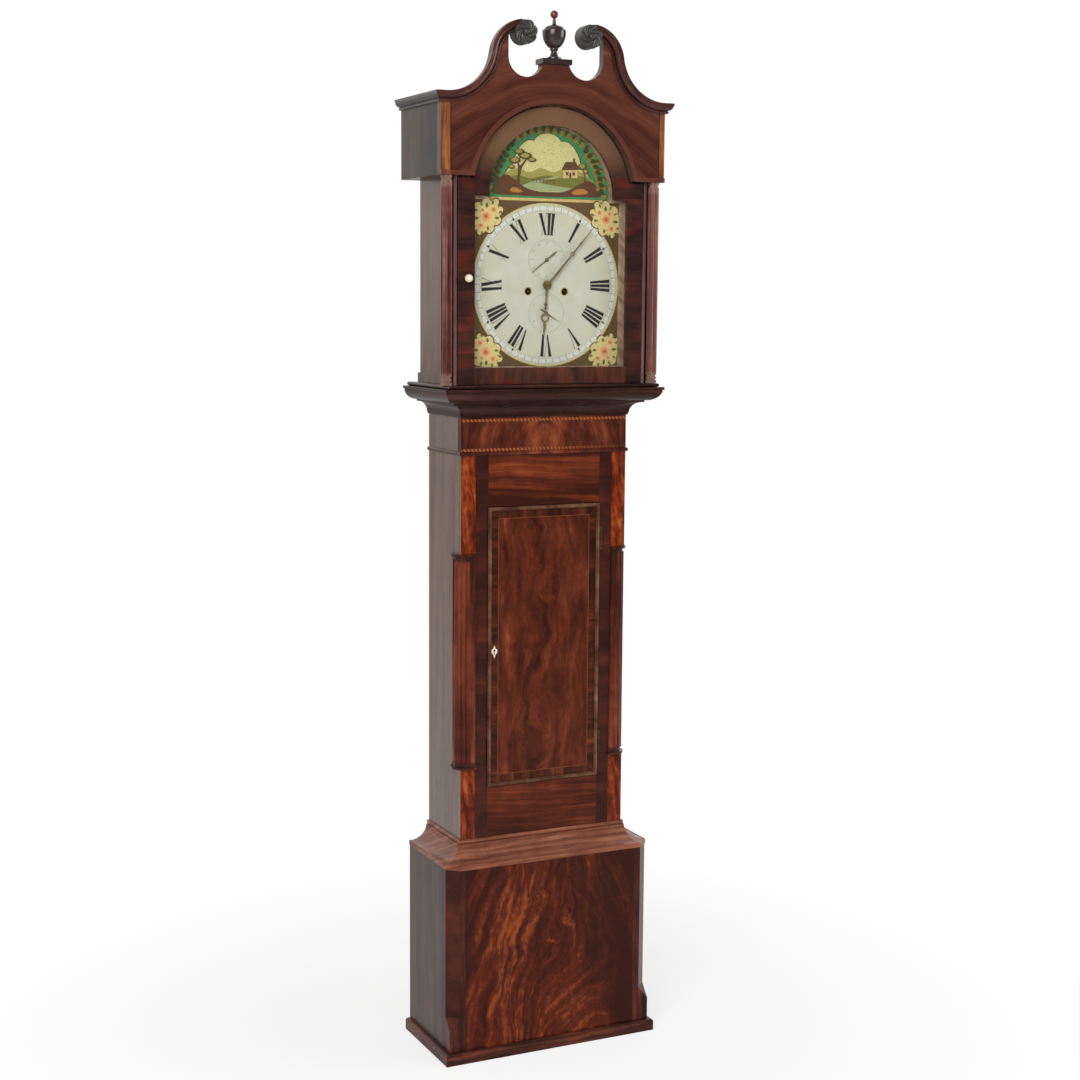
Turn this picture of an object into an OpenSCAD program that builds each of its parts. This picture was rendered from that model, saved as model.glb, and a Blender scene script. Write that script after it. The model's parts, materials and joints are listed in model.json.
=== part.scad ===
// Longcase clock: case, sliding hood, trunk door, hood door and an eight-day striking movement.
// X runs across the front, Y from the front to the wall, Z up; the origin is under the middle of the footprint.
// A depth is a distance forward of the wall, and a value t is a distance behind the front movement plate.

/* [Plinth] */
// Width of the plinth
plinth_w = 491; // [470:1:520]
// Depth of the plinth
plinth_d = 233; // [228:1:250]
// Height of the plinth up to its top moulding
plinth_h = 433; // [380:1:480]
// Thickness of the case boards
board_t = 18; // [15:1:20]
// Thickness of the backboard
back_t = 10; // [8:1:14]
// Width of the square corner posts
post_w = 40; // [36:1:48]
// Width that the canted corner takes off each face
cant = 24; // [16:1:28]
// Height at which the canted corner starts
cant_z = 75; // [60:1:120]
// Height of the sloping stop at the foot of the cant
cant_stop = 29; // [20:1:40]
// Height of the skirting
skirt_h = 26; // [20:1:60]
// How far the skirting stands out
skirt_out = 11; // [8:1:14]
// Height of the moulding on top of the plinth
plinth_mould_h = 53; // [44:1:60]

/* [Trunk] */
// Width of the trunk
trunk_w = 397; // [385:1:405]
// Depth of the trunk
trunk_d = 180; // [178:0.5:184]
// Height of the trunk between its two mouldings
trunk_h = 922; // [900:1:960]
// Thickness of the trunk and hood sides
side_t = 16; // [13:1:16]
// Width of the corner blocks and columns on the front
corner_w = 34.5; // [30:0.5:38]
// Depth of the corner blocks and columns on the side
corner_d = 45; // [40:1:50]
// Height of the corner columns' feet above the foot of the trunk
column_foot = 155.5; // [120:0.5:200]
// Height of the corner columns
column_h = 472.7; // [400:0.1:500]
// Radius of the corner columns over their reeds
column_r = 31; // [28:0.5:33]
// How far the corner columns' axes lie inside the two faces
column_in = 23.5; // [20:0.5:25]
// Number of reeds round a full corner column
column_reeds = 16; // [12:1:20]
// Height of the frieze under the hood moulding
trunk_frieze_h = 73; // [60:1:90]
// Height of the half-round bead under the frieze
astragal_h = 9; // [6:0.5:12]
// How far that bead stands out
astragal_out = 4.5; // [3:0.5:6]

/* [Trunk door] */
// Width of the trunk door
door_w = 269.8; // [250:0.2:272]
// Height of the trunk door
door_h = 615.6; // [580:0.2:640]
// Height of the door's foot above the foot of the trunk
door_foot = 112.3; // [100:0.1:130]
// Thickness of the trunk door
door_t = 17; // [14:0.5:17]
// Width of the moulding round the door
door_mould_w = 8; // [6:0.5:10]
// How far that moulding stands out
door_mould_out = 5; // [3.5:0.5:6]
// Gap between a door and its frame
door_gap = 0.9; // [0.6:0.1:1.2]
// Length of the door hinges
hinge_l = 51; // [40:1:60]
// Radius of the hinge knuckles
knuckle_r = 3; // [2.6:0.1:3.2]
// Height of the keyhole above the door's foot
keyhole_h = 300; // [250:1:350]

/* [Hood] */
// Height of the moulding that carries the hood
throat_h = 62; // [55:1:70]
// How far that moulding stands out from the trunk at its top, on each side
throat_out = 61.5; // [56:0.5:66]
// Depth of the top of that moulding
throat_d = 243; // [238:1:244]
// Height of the hood's base frame
base_h = 8; // [6:0.5:12]
// How far the hood's base frame stands out from the hood on each side
base_out = 31; // [28:0.5:38]
// Depth of the hood's base frame
base_d = 236; // [232:1:240]
// Room between the trunk's cheeks and the inside of the hood
hood_gap = 4.5; // [3:0.5:6]
// Height of the hood from its base frame to its frieze
hood_h = 434; // [432:1:440]
// How far the frieze stands out from the hood on each side
frieze_out = 44; // [42:0.5:48]
// Height of the frieze
frieze_h = 149.5; // [146:0.5:160]
// Depth of the frieze front
frieze_d = 220; // [220:0.5:222]
// Thickness of the pediment board
pediment_t = 18; // [17:1:20]
// Height of the arch centre above the base frame
arch_z = 398; // [397:0.5:402]
// Radius of the arched opening in the frieze
arch_r = 189.5; // [189.5:0.5:192]
// Width of the bead round the arch
arch_bead = 12; // [8:1:14]
// How far a hood column's axis stands out from the hood
hood_column_out = 25.5; // [25:0.5:29]
// Radius over a hood column's cluster of shafts
hood_column_r = 12.4; // [11:0.2:12.4]

/* [Hood door] */
// Thickness of the hood door
hood_door_t = 18; // [15:1:18]
// Depth of the hood door's front face
hood_door_d = 208; // [207:0.5:210]
// Radius of the door's arched top
hood_door_r = 185.5; // [184:0.5:185.5]
// Height of the door's bottom rail
hood_rail_h = 35; // [30:1:40]
// Width of the door's stiles
hood_stile_w = 39; // [35:1:42]
// Radius of the glazed arch
glass_arch_r = 147.5; // [140:0.5:150]
// Thickness of the glass
glass_t = 2.4; // [2:0.1:3]
// Radius of the door knob
knob_r = 6.5; // [5:0.5:8]

/* [Pediment] */
// Width of the swan neck moulding
swan_w = 22; // [18:1:26]
// Radius of the hollow part of the swan neck
swan_r1 = 102.5; // [98:0.5:106]
// Distance from the centre line to the hollow part's centre
swan_x1 = 255; // [250:1:258]
// Radius of the round part of the swan neck
swan_r2 = 76.3; // [72:0.1:80]
// Distance from the centre line to the round part's centre
swan_x2 = 78; // [76:1:82]
// How far the cornice stands out from the frieze
cornice_out = 15; // [12:1:18]
// Radius of the carved rosettes
rosette_r = 25.5; // [22:0.5:26]
// Radius of the two round cut-outs
notch_r = 41; // [36:1:41]
// Distance from the centre line to the cut-outs' centres
notch_x = 69.5; // [69:0.5:74]
// Radius of the urn on the finial
urn_r = 25; // [22:0.5:28]
// Height of the finial above its cap
finial_h = 101; // [90:1:110]

/* [Dial] */
// Width of the dial
dial_w = 356; // [352:1:358]
// Thickness of the dial sheet
dial_t = 2; // [1.5:0.1:2.2]
// Height of the dial centre above the hood's base frame
dial_z = 211; // [211:0.5:213]
// Radius of the painted arch
dial_arch_r = 152; // [148:0.5:156]
// Distance from the dial's centre to a winding hole, sideways
wind_x = 43.5; // [42.5:0.5:45]
// Distance from the dial's centre down to the winding holes
wind_z = 13.5; // [12.5:0.5:14.5]
// Distance from the dial's centre up to the seconds arbor
seconds_z = 53.7; // [53:0.1:54.5]
// Distance from the dial's centre down to the date arbor
date_z = 60.2; // [60:0.1:62]
// Length of the minute hand
minute_l = 157; // [140:1:160]
// Length of the hour hand
hour_l = 108; // [95:1:115]

/* [Movement] */
// Width of the movement plates
plate_w = 176; // [176:1:190]
// Thickness of the movement plates
plate_t = 3.5; // [3:0.1:3.5]
// Distance between the movement plates
plate_gap = 63; // [63:0.5:66]
// Distance from the dial's centre down to the plates' foot
plate_lo = 60; // [60:0.5:62]
// Distance from the dial's centre up to the plates' top
plate_hi = 105; // [104:1:112]
// Space between the front plate and the back of the dial
motion_d = 20.5; // [20.5:0.5:22]
// Radius of a wheel pivot
pivot_r = 1; // [0.8:0.1:1.2]
// Running clearance round a pivot
run = 0.08; // [0.06:0.01:0.1]
// Radius of the barrels
barrel_r = 22; // [20:0.5:23]
// Radius of the gut line
gut_r = 0.9; // [0.6:0.1:1.2]
// Thickness of the seat board
seat_t = 19; // [16:1:22]

/* [Pendulum and weights] */
// Length of the pendulum from its bending point to the bob's centre
pendulum_l = 985; // [960:1:1000]
// Radius of the pendulum bob
bob_r = 55; // [45:1:60]
// Thickness of the pendulum bob
bob_t = 28; // [20:1:30]
// Radius of the weights
weight_r = 32; // [28:1:32]
// Height of the weights
weight_h = 230; // [200:1:240]
// Height of the pulleys when the clock is half run down
pulley_z = 1215; // [1150:1:1240]
// Radius of the pulleys
pulley_r = 19; // [17:0.5:20]

/* [Hidden] */
hood_w = trunk_w + 2 * (side_t + hood_gap);
throat_w = trunk_w + 2 * throat_out;
base_w = hood_w + 2 * base_out;
frieze_w = hood_w + 2 * frieze_out;
hood_column_x = hood_w / 2 + hood_column_out;
$fn = 48;

// How far a cutter runs past the face that it cuts
cut = 1;
// Gap under a piece that slides or rests on another body
seat_gap = 0.3;
// How far the trunk sides run down inside the plinth
tenon = 40;

// Case levels and depths
case_d = plinth_d + skirt_out;
trunk_z0 = plinth_h + plinth_mould_h;
trunk_z1 = trunk_z0 + trunk_h;
column_z0 = trunk_z0 + column_foot;
column_z1 = column_z0 + column_h;
trunk_frieze_z = trunk_z1 - trunk_frieze_h;
door_z0 = trunk_z0 + door_foot;
door_z1 = door_z0 + door_h;
hood_z = trunk_z1 + throat_h + seat_gap;
sill_z = hood_z + base_h;
frieze_z = sill_z + hood_h;
roof_z = frieze_z + frieze_h;
roof_t = 8;
cornice_z1 = roof_z + 19;
arch_cz = sill_z + arch_z;
dial_cz = sill_z + dial_z;

// Movement depths and levels
dial_front = trunk_d + 0.5;
dial_back = dial_front - dial_t;
plate_front = dial_back - motion_d;
plate_in = plate_front - plate_t;
plate_back = plate_in - plate_gap - plate_t;
seat_z1 = dial_cz - plate_lo;
seat_z0 = seat_z1 - seat_t;
cheek_d = trunk_d - 30;
back_plane = plate_back - 22;
swing_z = dial_cz + seconds_z + 29.5;

function yd(d) = case_d / 2 - d;
function td(t) = plate_in - t;
function arc(cx, cy, rx, ry, a0, a1, n = 8) =
  [for (i = [0:n]) let (a = a0 + (a1 - a0) * i / n) [cx + rx * cos(a), cy + ry * sin(a)]];

// Basic solids placed by depth
module both() { children(); mirror([1, 0, 0]) children(); }
module box(x0, x1, d0, d1, z0, z1)
  translate([x0, yd(d1), z0]) cube([x1 - x0, d1 - d0, z1 - z0]);
module sheet(d0, d1) translate([0, yd(d0), 0]) rotate([90, 0, 0]) linear_extrude(d1 - d0) children();
module rod_y(x, z, d0, d1, r)
  translate([x, yd(d1), z]) rotate([-90, 0, 0]) cylinder(r = r, h = d1 - d0);
module rod_z(x, d, z0, z1, r) translate([x, yd(d), z0]) cylinder(r = r, h = z1 - z0);
module turned_z(x, d, z) translate([x, yd(d), z]) rotate_extrude() children();
module turned_y(x, d, z) translate([x, yd(d), z]) rotate([90, 0, 0]) rotate_extrude() children();

// A moulding round the front and both sides, mitred at the corners. In its profile the first number is
// the share of the way from the inner outline (w0, d0) to the outer one (w1, d1), the second the height.
module mitred(profile, w0, d0, w1, d1, z0) {
  reach = max([for (p = profile) p[0]]) + 0.01;
  function px(s) = (w0 + s * (w1 - w0)) / 2;
  function pd(s) = yd(d0 + s * (d1 - d0));
  intersection() {
    translate([-w1 / 2 - 20, 0, z0]) rotate([90, 0, 90]) linear_extrude(w1 + 40)
      polygon([for (p = profile) [pd(p[0]), p[1]]]);
    translate([0, 0, z0 - cut]) linear_extrude(throat_h + plinth_mould_h)
      polygon([[-px(0), pd(0)], [-px(reach), pd(reach)], [px(reach), pd(reach)], [px(0), pd(0)]]);
  }
  both() intersection() {
    translate([0, yd(0), z0]) rotate([90, 0, 0]) linear_extrude(d1 + 40)
      polygon([for (p = profile) [px(p[0]), p[1]]]);
    translate([0, 0, z0 - cut]) linear_extrude(throat_h + plinth_mould_h)
      polygon([[px(0), pd(0)], [px(reach), pd(reach)], [px(reach), yd(-cut)], [px(0), yd(-cut)]]);
  }
}

// Case

module backboard() color("#6b4a35") union() {
  box(-plinth_w / 2 + board_t, plinth_w / 2 - board_t, 0, back_t, 0, plinth_h - tenon);
  box(-trunk_w / 2 + side_t, trunk_w / 2 - side_t, 0, back_t, plinth_h - tenon - cut, roof_z - 20);
}

module plinth_panels() color("#5a2418") {
  box(-plinth_w / 2 + post_w, plinth_w / 2 - post_w, plinth_d - board_t, plinth_d, 0, plinth_h);
  both() box(plinth_w / 2 - board_t, plinth_w / 2, 0, plinth_d - post_w, 0, plinth_h);
}

// The cant stops above the skirting in a sloping facet
module plinth_corner_posts() color("#8a4a26") both() difference() {
  lean = atan(cant / sqrt(2) / cant_stop);
  box(plinth_w / 2 - post_w, plinth_w / 2, plinth_d - post_w, plinth_d, 0, plinth_h);
  translate([plinth_w / 2 - cant, yd(plinth_d), cant_z + cant_stop]) rotate([0, 0, 45]) {
    translate([-cant, -2 * cant, 0]) cube([4 * cant, 2 * cant, plinth_h]);
    rotate([-lean, 0, 0]) translate([-cant, -2 * cant, -3 * cant_stop])
      cube([4 * cant, 2 * cant, 3 * cant_stop]);
  }
}

module plinth_skirting() color("#4a1d14") {
  nose = 6;
  mitred(concat([[0, 0], [1, 0]], arc(1 - nose / skirt_out, skirt_h - nose, nose / skirt_out, nose, 0, 90),
    [[0, skirt_h]]), plinth_w, plinth_d, plinth_w + 2 * skirt_out, case_d, 0);
}

module plinth_floor() color("#7a5a40") {
  floor_z = 12;
  floor_t = 12;
  union() {
    box(-plinth_w / 2 + board_t, plinth_w / 2 - board_t, back_t, plinth_d - post_w,
      floor_z, floor_z + floor_t);
    box(-plinth_w / 2 + post_w, plinth_w / 2 - post_w, plinth_d - post_w - cut, plinth_d - board_t,
      floor_z, floor_z + floor_t);
  }
}

// A point of the plinth's outline, moved a little way out along the moulding's mitre
function mould_far(x, d, reach = 1.04) =
  [trunk_w / 2 + reach * (x - trunk_w / 2), yd(trunk_d + reach * (d - trunk_d))];

// Five mitred lengths with hairline joints: a bead, a wide hollow and a small half-round, drawn in from
// the canted plinth to the square trunk
module plinth_top_moulding() color("#4a1d14") {
  h = plinth_mould_h;
  joint = 0.05;
  profile = concat([[0, 0], [1.03, 0], [1.03, 4]], arc(0.99, 8, 0.04, 3, 30, 90, 3),
    arc(0.96, 44, 0.82, 34, 270, 180, 10), arc(0.06, h - 4.5, 0.05, 4.5, -90, 90, 5), [[0, h]]);
  cant_far = (plinth_w / 2 - cant - trunk_w / 2 + plinth_d - trunk_d) / sqrt(2);
  near = [trunk_w / 2, yd(trunk_d)];
  front_far = mould_far(plinth_w / 2 - cant, plinth_d);
  side_far = mould_far(plinth_w / 2, plinth_d - cant);
  out = [joint, -joint];
  back = [0, joint];
  translate([0, 0, plinth_h]) {
    intersection() {
      translate([-plinth_w, 0, 0]) rotate([90, 0, 90]) linear_extrude(2 * plinth_w)
        polygon([for (p = profile) [yd(trunk_d + p[0] * (plinth_d - trunk_d)), p[1]]]);
      translate([0, 0, -cut]) linear_extrude(h + 2 * cut)
        polygon([[-near[0], near[1]], [-front_far[0], front_far[1]], front_far, near]);
    }
    both() intersection() {
      translate([near[0], near[1], 0]) rotate([0, 0, -45]) translate([0, 3 * cant, 0])
        rotate([90, 0, 0]) linear_extrude(6 * cant) polygon([for (p = profile) [p[0] * cant_far, p[1]]]);
      translate([0, 0, -cut]) linear_extrude(h + 2 * cut)
        polygon([near + out, front_far + out, side_far + out]);
    }
    both() intersection() {
      translate([0, yd(0), 0]) rotate([90, 0, 0]) linear_extrude(plinth_d)
        polygon([for (p = profile) [(trunk_w + p[0] * (plinth_w - trunk_w)) / 2, p[1]]]);
      translate([0, 0, -cut]) linear_extrude(h + 2 * cut)
        polygon([near + back, side_far + back, [side_far[0], yd(-cut)], [near[0], yd(-cut)]]);
    }
  }
}

// The sides run up inside the hood as cheeks that carry the seat board
module trunk_sides() color("#4f2c20") both() {
  union() {
    box(trunk_w / 2 - side_t, trunk_w / 2, 0, trunk_d - corner_d, plinth_h - tenon, trunk_frieze_z + cut);
    box(trunk_w / 2 - side_t, trunk_w / 2, 0, trunk_d - board_t, trunk_frieze_z, trunk_z1);
    box(trunk_w / 2 - side_t, trunk_w / 2, 0, cheek_d, trunk_z1 - cut, seat_z0);
  }
}

module trunk_front_frame() color("#54211a") {
  inner = door_w / 2 + door_gap;
  both() difference() {
    box(inner, trunk_w / 2 - corner_w, trunk_d - board_t, trunk_d, plinth_h, trunk_frieze_z);
    hinge_recess(1);
  }
  box(-inner, inner, trunk_d - board_t, trunk_d, door_z1 + door_gap, trunk_frieze_z);
  box(-inner, inner, trunk_d - board_t, trunk_d, plinth_h, door_z0 - door_gap);
}

module trunk_corner_blocks() color("#a8592a") both() {
  box(trunk_w / 2 - corner_w, trunk_w / 2, trunk_d - corner_d, trunk_d, plinth_h, column_z0);
  box(trunk_w / 2 - corner_w, trunk_w / 2, trunk_d - corner_d, trunk_d, column_z1, trunk_frieze_z);
}

// Reeded columns let into the corners, each with a ring and a plain neck at both ends
module trunk_corner_columns() color("#4a1d16") both() intersection() {
  ring_h = 5;
  neck_h = 8;
  reed_r = column_r * sin(180 / column_reeds) / (1 + sin(180 / column_reeds)) * 1.04;
  union() {
    for (z = [column_z0, column_z1 - ring_h])
      rod_z(trunk_w / 2 - column_in, trunk_d - column_in, z, z + ring_h, column_r + 3.5);
    rod_z(trunk_w / 2 - column_in, trunk_d - column_in, column_z0, column_z1, column_r - 3);
    translate([trunk_w / 2 - column_in, yd(trunk_d - column_in), column_z0 + ring_h + neck_h])
      linear_extrude(column_h - 2 * (ring_h + neck_h)) union() {
        circle(column_r - reed_r);
        for (i = [1:column_reeds]) rotate((i - 0.5) * 360 / column_reeds)
          translate([column_r - reed_r, 0]) circle(reed_r);
      }
  }
  box(trunk_w / 2 - corner_w, trunk_w, trunk_d - corner_d, 2 * trunk_d, column_z0, column_z1);
}

module trunk_frieze() color("#54211a") {
  box(-trunk_w / 2, trunk_w / 2, trunk_d - board_t, trunk_d, trunk_frieze_z, trunk_z1 + throat_h);
  mitred(arc(0, astragal_h / 2, 1, astragal_h / 2, -90, 90, 12), trunk_w, trunk_d,
    trunk_w + 2 * astragal_out, trunk_d + astragal_out, trunk_frieze_z - astragal_h);
}

// A hollow, a step and a round below a thin top edge
module hood_support_moulding() color("#4a1d14") {
  h = throat_h;
  mitred(concat([[0, 0], [0.06, 0], [0.06, 5]], arc(0.44, 5, 0.36, 23, 180, 90, 9),
    [[0.48, 28], [0.48, 31]], arc(0.5, h - 6, 0.45, h - 38, 270, 360, 9), [[1, h - 6], [1, h], [0, h]]),
    trunk_w, trunk_d, throat_w, throat_d, trunk_z1);
}

// The movement stands on this board; the lines drop through it
module seat_board() color("#8a6a48") difference() {
  slot = 5;
  box(-trunk_w / 2, trunk_w / 2, plate_back - 4, plate_front + 8, seat_z0, seat_z1);
  for (x = [going_line_x, strike_line_x])
    box(x - slot, x + slot, line_d - slot, line_d + slot, seat_z0 - cut, seat_z1 + cut);
  for (x = [going_line_x, strike_line_x])
    rod_z(x + 2 * line_turn_r, line_d, seat_z0 - cut, seat_z1 + cut, gut_r + 0.6);
  for (x = [-pillar_x, pillar_x])
    rod_z(x, td(plate_gap / 2), seat_z0 - cut, seat_z1 + cut, screw_r + 0.5);
}

// Trunk door hinges: knuckles on one pin, with leaves let into the door's edge and the stile's edge
hinge_x = door_w / 2 + door_gap / 2 + knuckle_r - 0.15;
hinge_d = trunk_d + knuckle_r + 0.2;
leaf_t = 1.5;
leaf_d = 16;
knuckles = 5;
hinge_zs = [door_z0 + 53, door_z1 - 53 - hinge_l];

module hinge_recess(side) {
  edge = door_w / 2 + (side > 0 ? door_gap : 0);
  for (z = hinge_zs)
    box(side > 0 ? edge - cut : edge - leaf_t, side > 0 ? edge + leaf_t : edge + cut,
      trunk_d - leaf_d, trunk_d + 2 * knuckle_r, z, z + hinge_l);
}

// Every second knuckle, with a gap of 0.2 mm between neighbours
module hinge_barrel(z, first, bore) {
  step = hinge_l / knuckles;
  for (i = [first:2:knuckles - 1]) difference() {
    rod_z(hinge_x, hinge_d, z + i * step + 0.1, z + (i + 1) * step - 0.1, knuckle_r);
    rod_z(hinge_x, hinge_d, z - cut, z + hinge_l + cut, bore);
  }
}

module trunk_hinge_leaves() color("#b08d45") for (z = hinge_zs) {
  edge = door_w / 2 + door_gap;
  pin_r = 1.4;
  difference() {
    union() {
      box(edge, edge + leaf_t, trunk_d - leaf_d, trunk_d, z, z + hinge_l);
      for (i = [0:2:knuckles - 1]) {
        z0 = z + i * hinge_l / knuckles + 0.1;
        box(edge, edge + leaf_t, trunk_d - cut, hinge_d, z0, z0 + hinge_l / knuckles - 0.2);
      }
      hinge_barrel(z, 0, pin_r);
    }
    rod_z(hinge_x, hinge_d, z - cut, z + hinge_l + cut, pin_r);
  }
  rod_z(hinge_x, hinge_d, z, z + hinge_l, pin_r);
}

module trunk_door_hinges() color("#b08d45") for (z = hinge_zs) {
  bore_r = 1.5;
  strap_t = 1.4;
  difference() {
    union() {
      box(door_w / 2 - leaf_t, door_w / 2, trunk_d - leaf_d, hinge_d + strap_t / 2, z, z + hinge_l);
      for (i = [1:2:knuckles - 1]) {
        z0 = z + i * hinge_l / knuckles + 0.1;
        box(door_w / 2 - cut, hinge_x, hinge_d - strap_t / 2, hinge_d + strap_t / 2,
          z0, z0 + hinge_l / knuckles - 0.2);
      }
      hinge_barrel(z, 1, bore_r);
    }
    rod_z(hinge_x, hinge_d, z - cut, z + hinge_l + cut, bore_r);
  }
}

lock_x = -door_w / 2 + 16;
lock_z = door_z0 + keyhole_h;

module keyhole_cut() {
  rod_y(lock_x, lock_z + 2, trunk_d - 3 * door_t, trunk_d + 2 * door_t, 2.4);
  box(lock_x - 1.1, lock_x + 1.1, trunk_d - 3 * door_t, trunk_d + 2 * door_t, lock_z - 7, lock_z + 2);
}

module trunk_door_panel() color("#6e2a1b") difference() {
  box(-door_w / 2, door_w / 2, trunk_d - door_t, trunk_d, door_z0, door_z1);
  hinge_recess(0);
  keyhole_cut();
}

// Four mitred lengths, each a flat strip with a narrower bead on it
module door_ring(inset, width, d0, d1) {
  w = door_w / 2 - inset;
  h = door_h / 2 - inset;
  for (s = [-1, 1]) sheet(d0, d1) translate([0, (door_z0 + door_z1) / 2]) {
    polygon([[-w, s * h], [w, s * h], [w - width, s * (h - width)], [-w + width, s * (h - width)]]);
    polygon([[s * w, -h], [s * w, h], [s * (w - width), h - width], [s * (w - width), -h + width]]);
  }
}

module trunk_door_moulding() color("#4a1d14") difference() {
  union() {
    door_ring(0, door_mould_w, trunk_d, trunk_d + door_mould_out * 0.6);
    door_ring(door_mould_w * 0.2, door_mould_w * 0.5, trunk_d + door_mould_out * 0.6 - 0.1,
      trunk_d + door_mould_out);
  }
  hinge_recess(0);
}

module trunk_door_lock() color("#cdbb8d") {
  case_w = 42;
  case_h = 56;
  case_t = 11;
  difference() {
    box(-door_w / 2 + 3, -door_w / 2 + 3 + case_w, trunk_d - door_t - case_t, trunk_d - door_t,
      lock_z - case_h / 2, lock_z + case_h / 2);
    keyhole_cut();
  }
  difference() {
    sheet(trunk_d, trunk_d + 0.8) translate([lock_x, lock_z]) {
      circle(7);
      polygon([[-5, 0], [5, 0], [0, -16]]);
      polygon([[-5, 0], [5, 0], [0, 13]]);
    }
    keyhole_cut();
  }
}

// Hood

hood_in = hood_w / 2 - side_t;
side_front = hood_door_d - hood_door_t;

module hood_sides() color("#5b3a2c") both() {
  fillet_w = 6;
  fillet_h = 20;
  stile_w = 9;
  stile_back = side_front - 14;
  soffit_t = 8;
  box(hood_in, hood_w / 2, 0, side_front, sill_z, frieze_z);
  box(hood_w / 2, hood_w / 2 + fillet_w, 0, stile_back, sill_z, sill_z + fillet_h);
  union() {
    box(hood_w / 2, hood_w / 2 + 1 + stile_w, stile_back, side_front - 0.5, sill_z, frieze_z);
    box(hood_w / 2 + 1, hood_w / 2 + 1 + stile_w, side_front - 1, hood_door_d - 3.5, sill_z, frieze_z);
    rod_z(hood_w / 2 + 1 + stile_w / 2, hood_door_d - 3.5, sill_z, frieze_z, stile_w / 2);
  }
  box(frieze_w / 2 - side_t, frieze_w / 2, 0, frieze_d - pediment_t, frieze_z, roof_z);
  difference() {
    box(hood_in, frieze_w / 2 - side_t, 0, frieze_d - pediment_t, frieze_z, frieze_z + soffit_t);
    hood_pin_hole();
  }
}

// The hood runs forward off the clock on this frame, clear of the cheeks
module hood_base_frame() color("#4a1d14") difference() {
  inner_w = trunk_w + 5;
  inner_d = dial_front + 2.5;
  nose = base_h / 2;
  s = 1 - nose / (base_d - inner_d);
  mitred(concat([[0, 0]], arc(s, nose, 1 - s, nose, -90, 90, 8), [[0, base_h]]),
    inner_w, inner_d, base_w, base_d, hood_z);
  hood_pin_hole();
}

// A cluster of four shafts with a stepped base and a small capital
module hood_columns() color("#4f1f17") both() {
  shaft_r = hood_column_r * 0.445;
  off = (hood_column_r - shaft_r) / sqrt(2);
  base = 19;
  cap = 13;
  d = frieze_d - hood_column_r - 0.2;
  union() {
    rod_z(hood_column_x, d, sill_z, sill_z + 6, hood_column_r);
    rod_z(hood_column_x, d, sill_z, sill_z + base, hood_column_r - 2.4);
    rod_z(hood_column_x, d, sill_z + 9, sill_z + 14, hood_column_r - 0.8);
    translate([hood_column_x, yd(d), sill_z + base - cut])
      linear_extrude(hood_h - base - cap + 2 * cut) union() {
        square(2 * off, center = true);
        for (a = [45:90:315]) rotate(a) translate([off * sqrt(2), 0]) circle(shaft_r);
      }
    rod_z(hood_column_x, d, frieze_z - cap, frieze_z, hood_column_r - 2);
    rod_z(hood_column_x, d, frieze_z - cap, frieze_z - cap + 3, hood_column_r - 0.8);
    rod_z(hood_column_x, d, frieze_z - 5, frieze_z, hood_column_r);
  }
}

swan_z1 = cornice_z1 + swan_r1;
swan_z2 = swan_z1 - sqrt(pow(swan_r1 + swan_r2, 2) - pow(swan_x1 - swan_x2, 2));
swan_end = [swan_x2 - 2, swan_z2 + swan_r2 - rosette_r];
neck_top = swan_z1 - 35;
join_a = atan2(swan_z1 - swan_z2, swan_x1 - swan_x2);
swan_steps = 16;
swan_stop = 84;
swan_lip = 6;

// Right half of the swan neck's top edge, or a line a given distance below it
function swan_line(t) = concat(
  arc(swan_x1, swan_z1, swan_r1 + t, swan_r1 + t, 270, 180 + join_a, swan_steps),
  [for (i = [1:swan_steps]) let (a = join_a + (swan_stop - join_a) * i / swan_steps)
    [swan_x2 + (swan_r2 - t) * cos(a), swan_z2 + (swan_r2 - t) * sin(a)]]);
function turned_back(list) = [for (i = [len(list) - 1:-1:0]) list[i]];

module arch_shape(r) translate([0, arch_cz]) circle(r, $fn = 128);

// One board: frieze, tympanum and the two horns behind the swan necks, with the arch and notches cut
module hood_pediment() color("#6a2819") {
  line = swan_line(swan_lip);
  difference() {
    sheet(frieze_d - pediment_t, frieze_d) difference() {
      union() {
        translate([-frieze_w / 2, frieze_z]) square([frieze_w, frieze_h]);
        both() polygon(concat([[0, roof_z - cut], [swan_x1, roof_z - cut]], line,
          [[0, line[len(line) - 1][1]]]));
      }
      both() {
        translate([notch_x, swan_z2 + 2]) circle(notch_r, $fn = 96);
        translate([notch_x - notch_r, swan_z2 + 2]) square([2 * notch_r, 2 * swan_r2]);
        translate(swan_end) circle(rosette_r + run);
      }
      translate([-notch_x, neck_top]) square([2 * notch_x, 2 * swan_r2]);
      arch_shape(arch_r);
    }
    hood_pin_hole();
  }
  hood_arch_bead();
}

module hood_arch_bead() {
  proud = 3.5;
  edge_h = 10;
  quirk = 1.6;
  sheet(frieze_d, frieze_d + proud) difference() {
    union() {
      intersection() {
        arch_shape(arch_r + arch_bead);
        translate([-frieze_w / 2, frieze_z]) square([frieze_w, cornice_z1]);
      }
      translate([-frieze_w / 2, frieze_z]) square([frieze_w, edge_h]);
    }
    arch_shape(arch_r + quirk);
  }
}

module hood_roof() color("#6b4a35")
  box(-frieze_w / 2, frieze_w / 2, 0, frieze_d - pediment_t, roof_z, roof_z + roof_t);

// Steps from the lower edge of the moulding to its top edge: distance below the top, and how far out
moulding_steps = [[1, 0.27], [0.78, 0.5], [0.52, 0.78], [0.27, 1]];

module hood_cornice() color("#4a1d14") both() {
  union() {
    for (s = moulding_steps)
      box(frieze_w / 2 - (s[0] < 0.3 ? 8 : 0), frieze_w / 2 + cornice_out * s[1], 0, frieze_d,
        cornice_z1 - (s[0] < 0.3 ? swan_lip : swan_w * s[0]), cornice_z1);
  }
}

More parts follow.
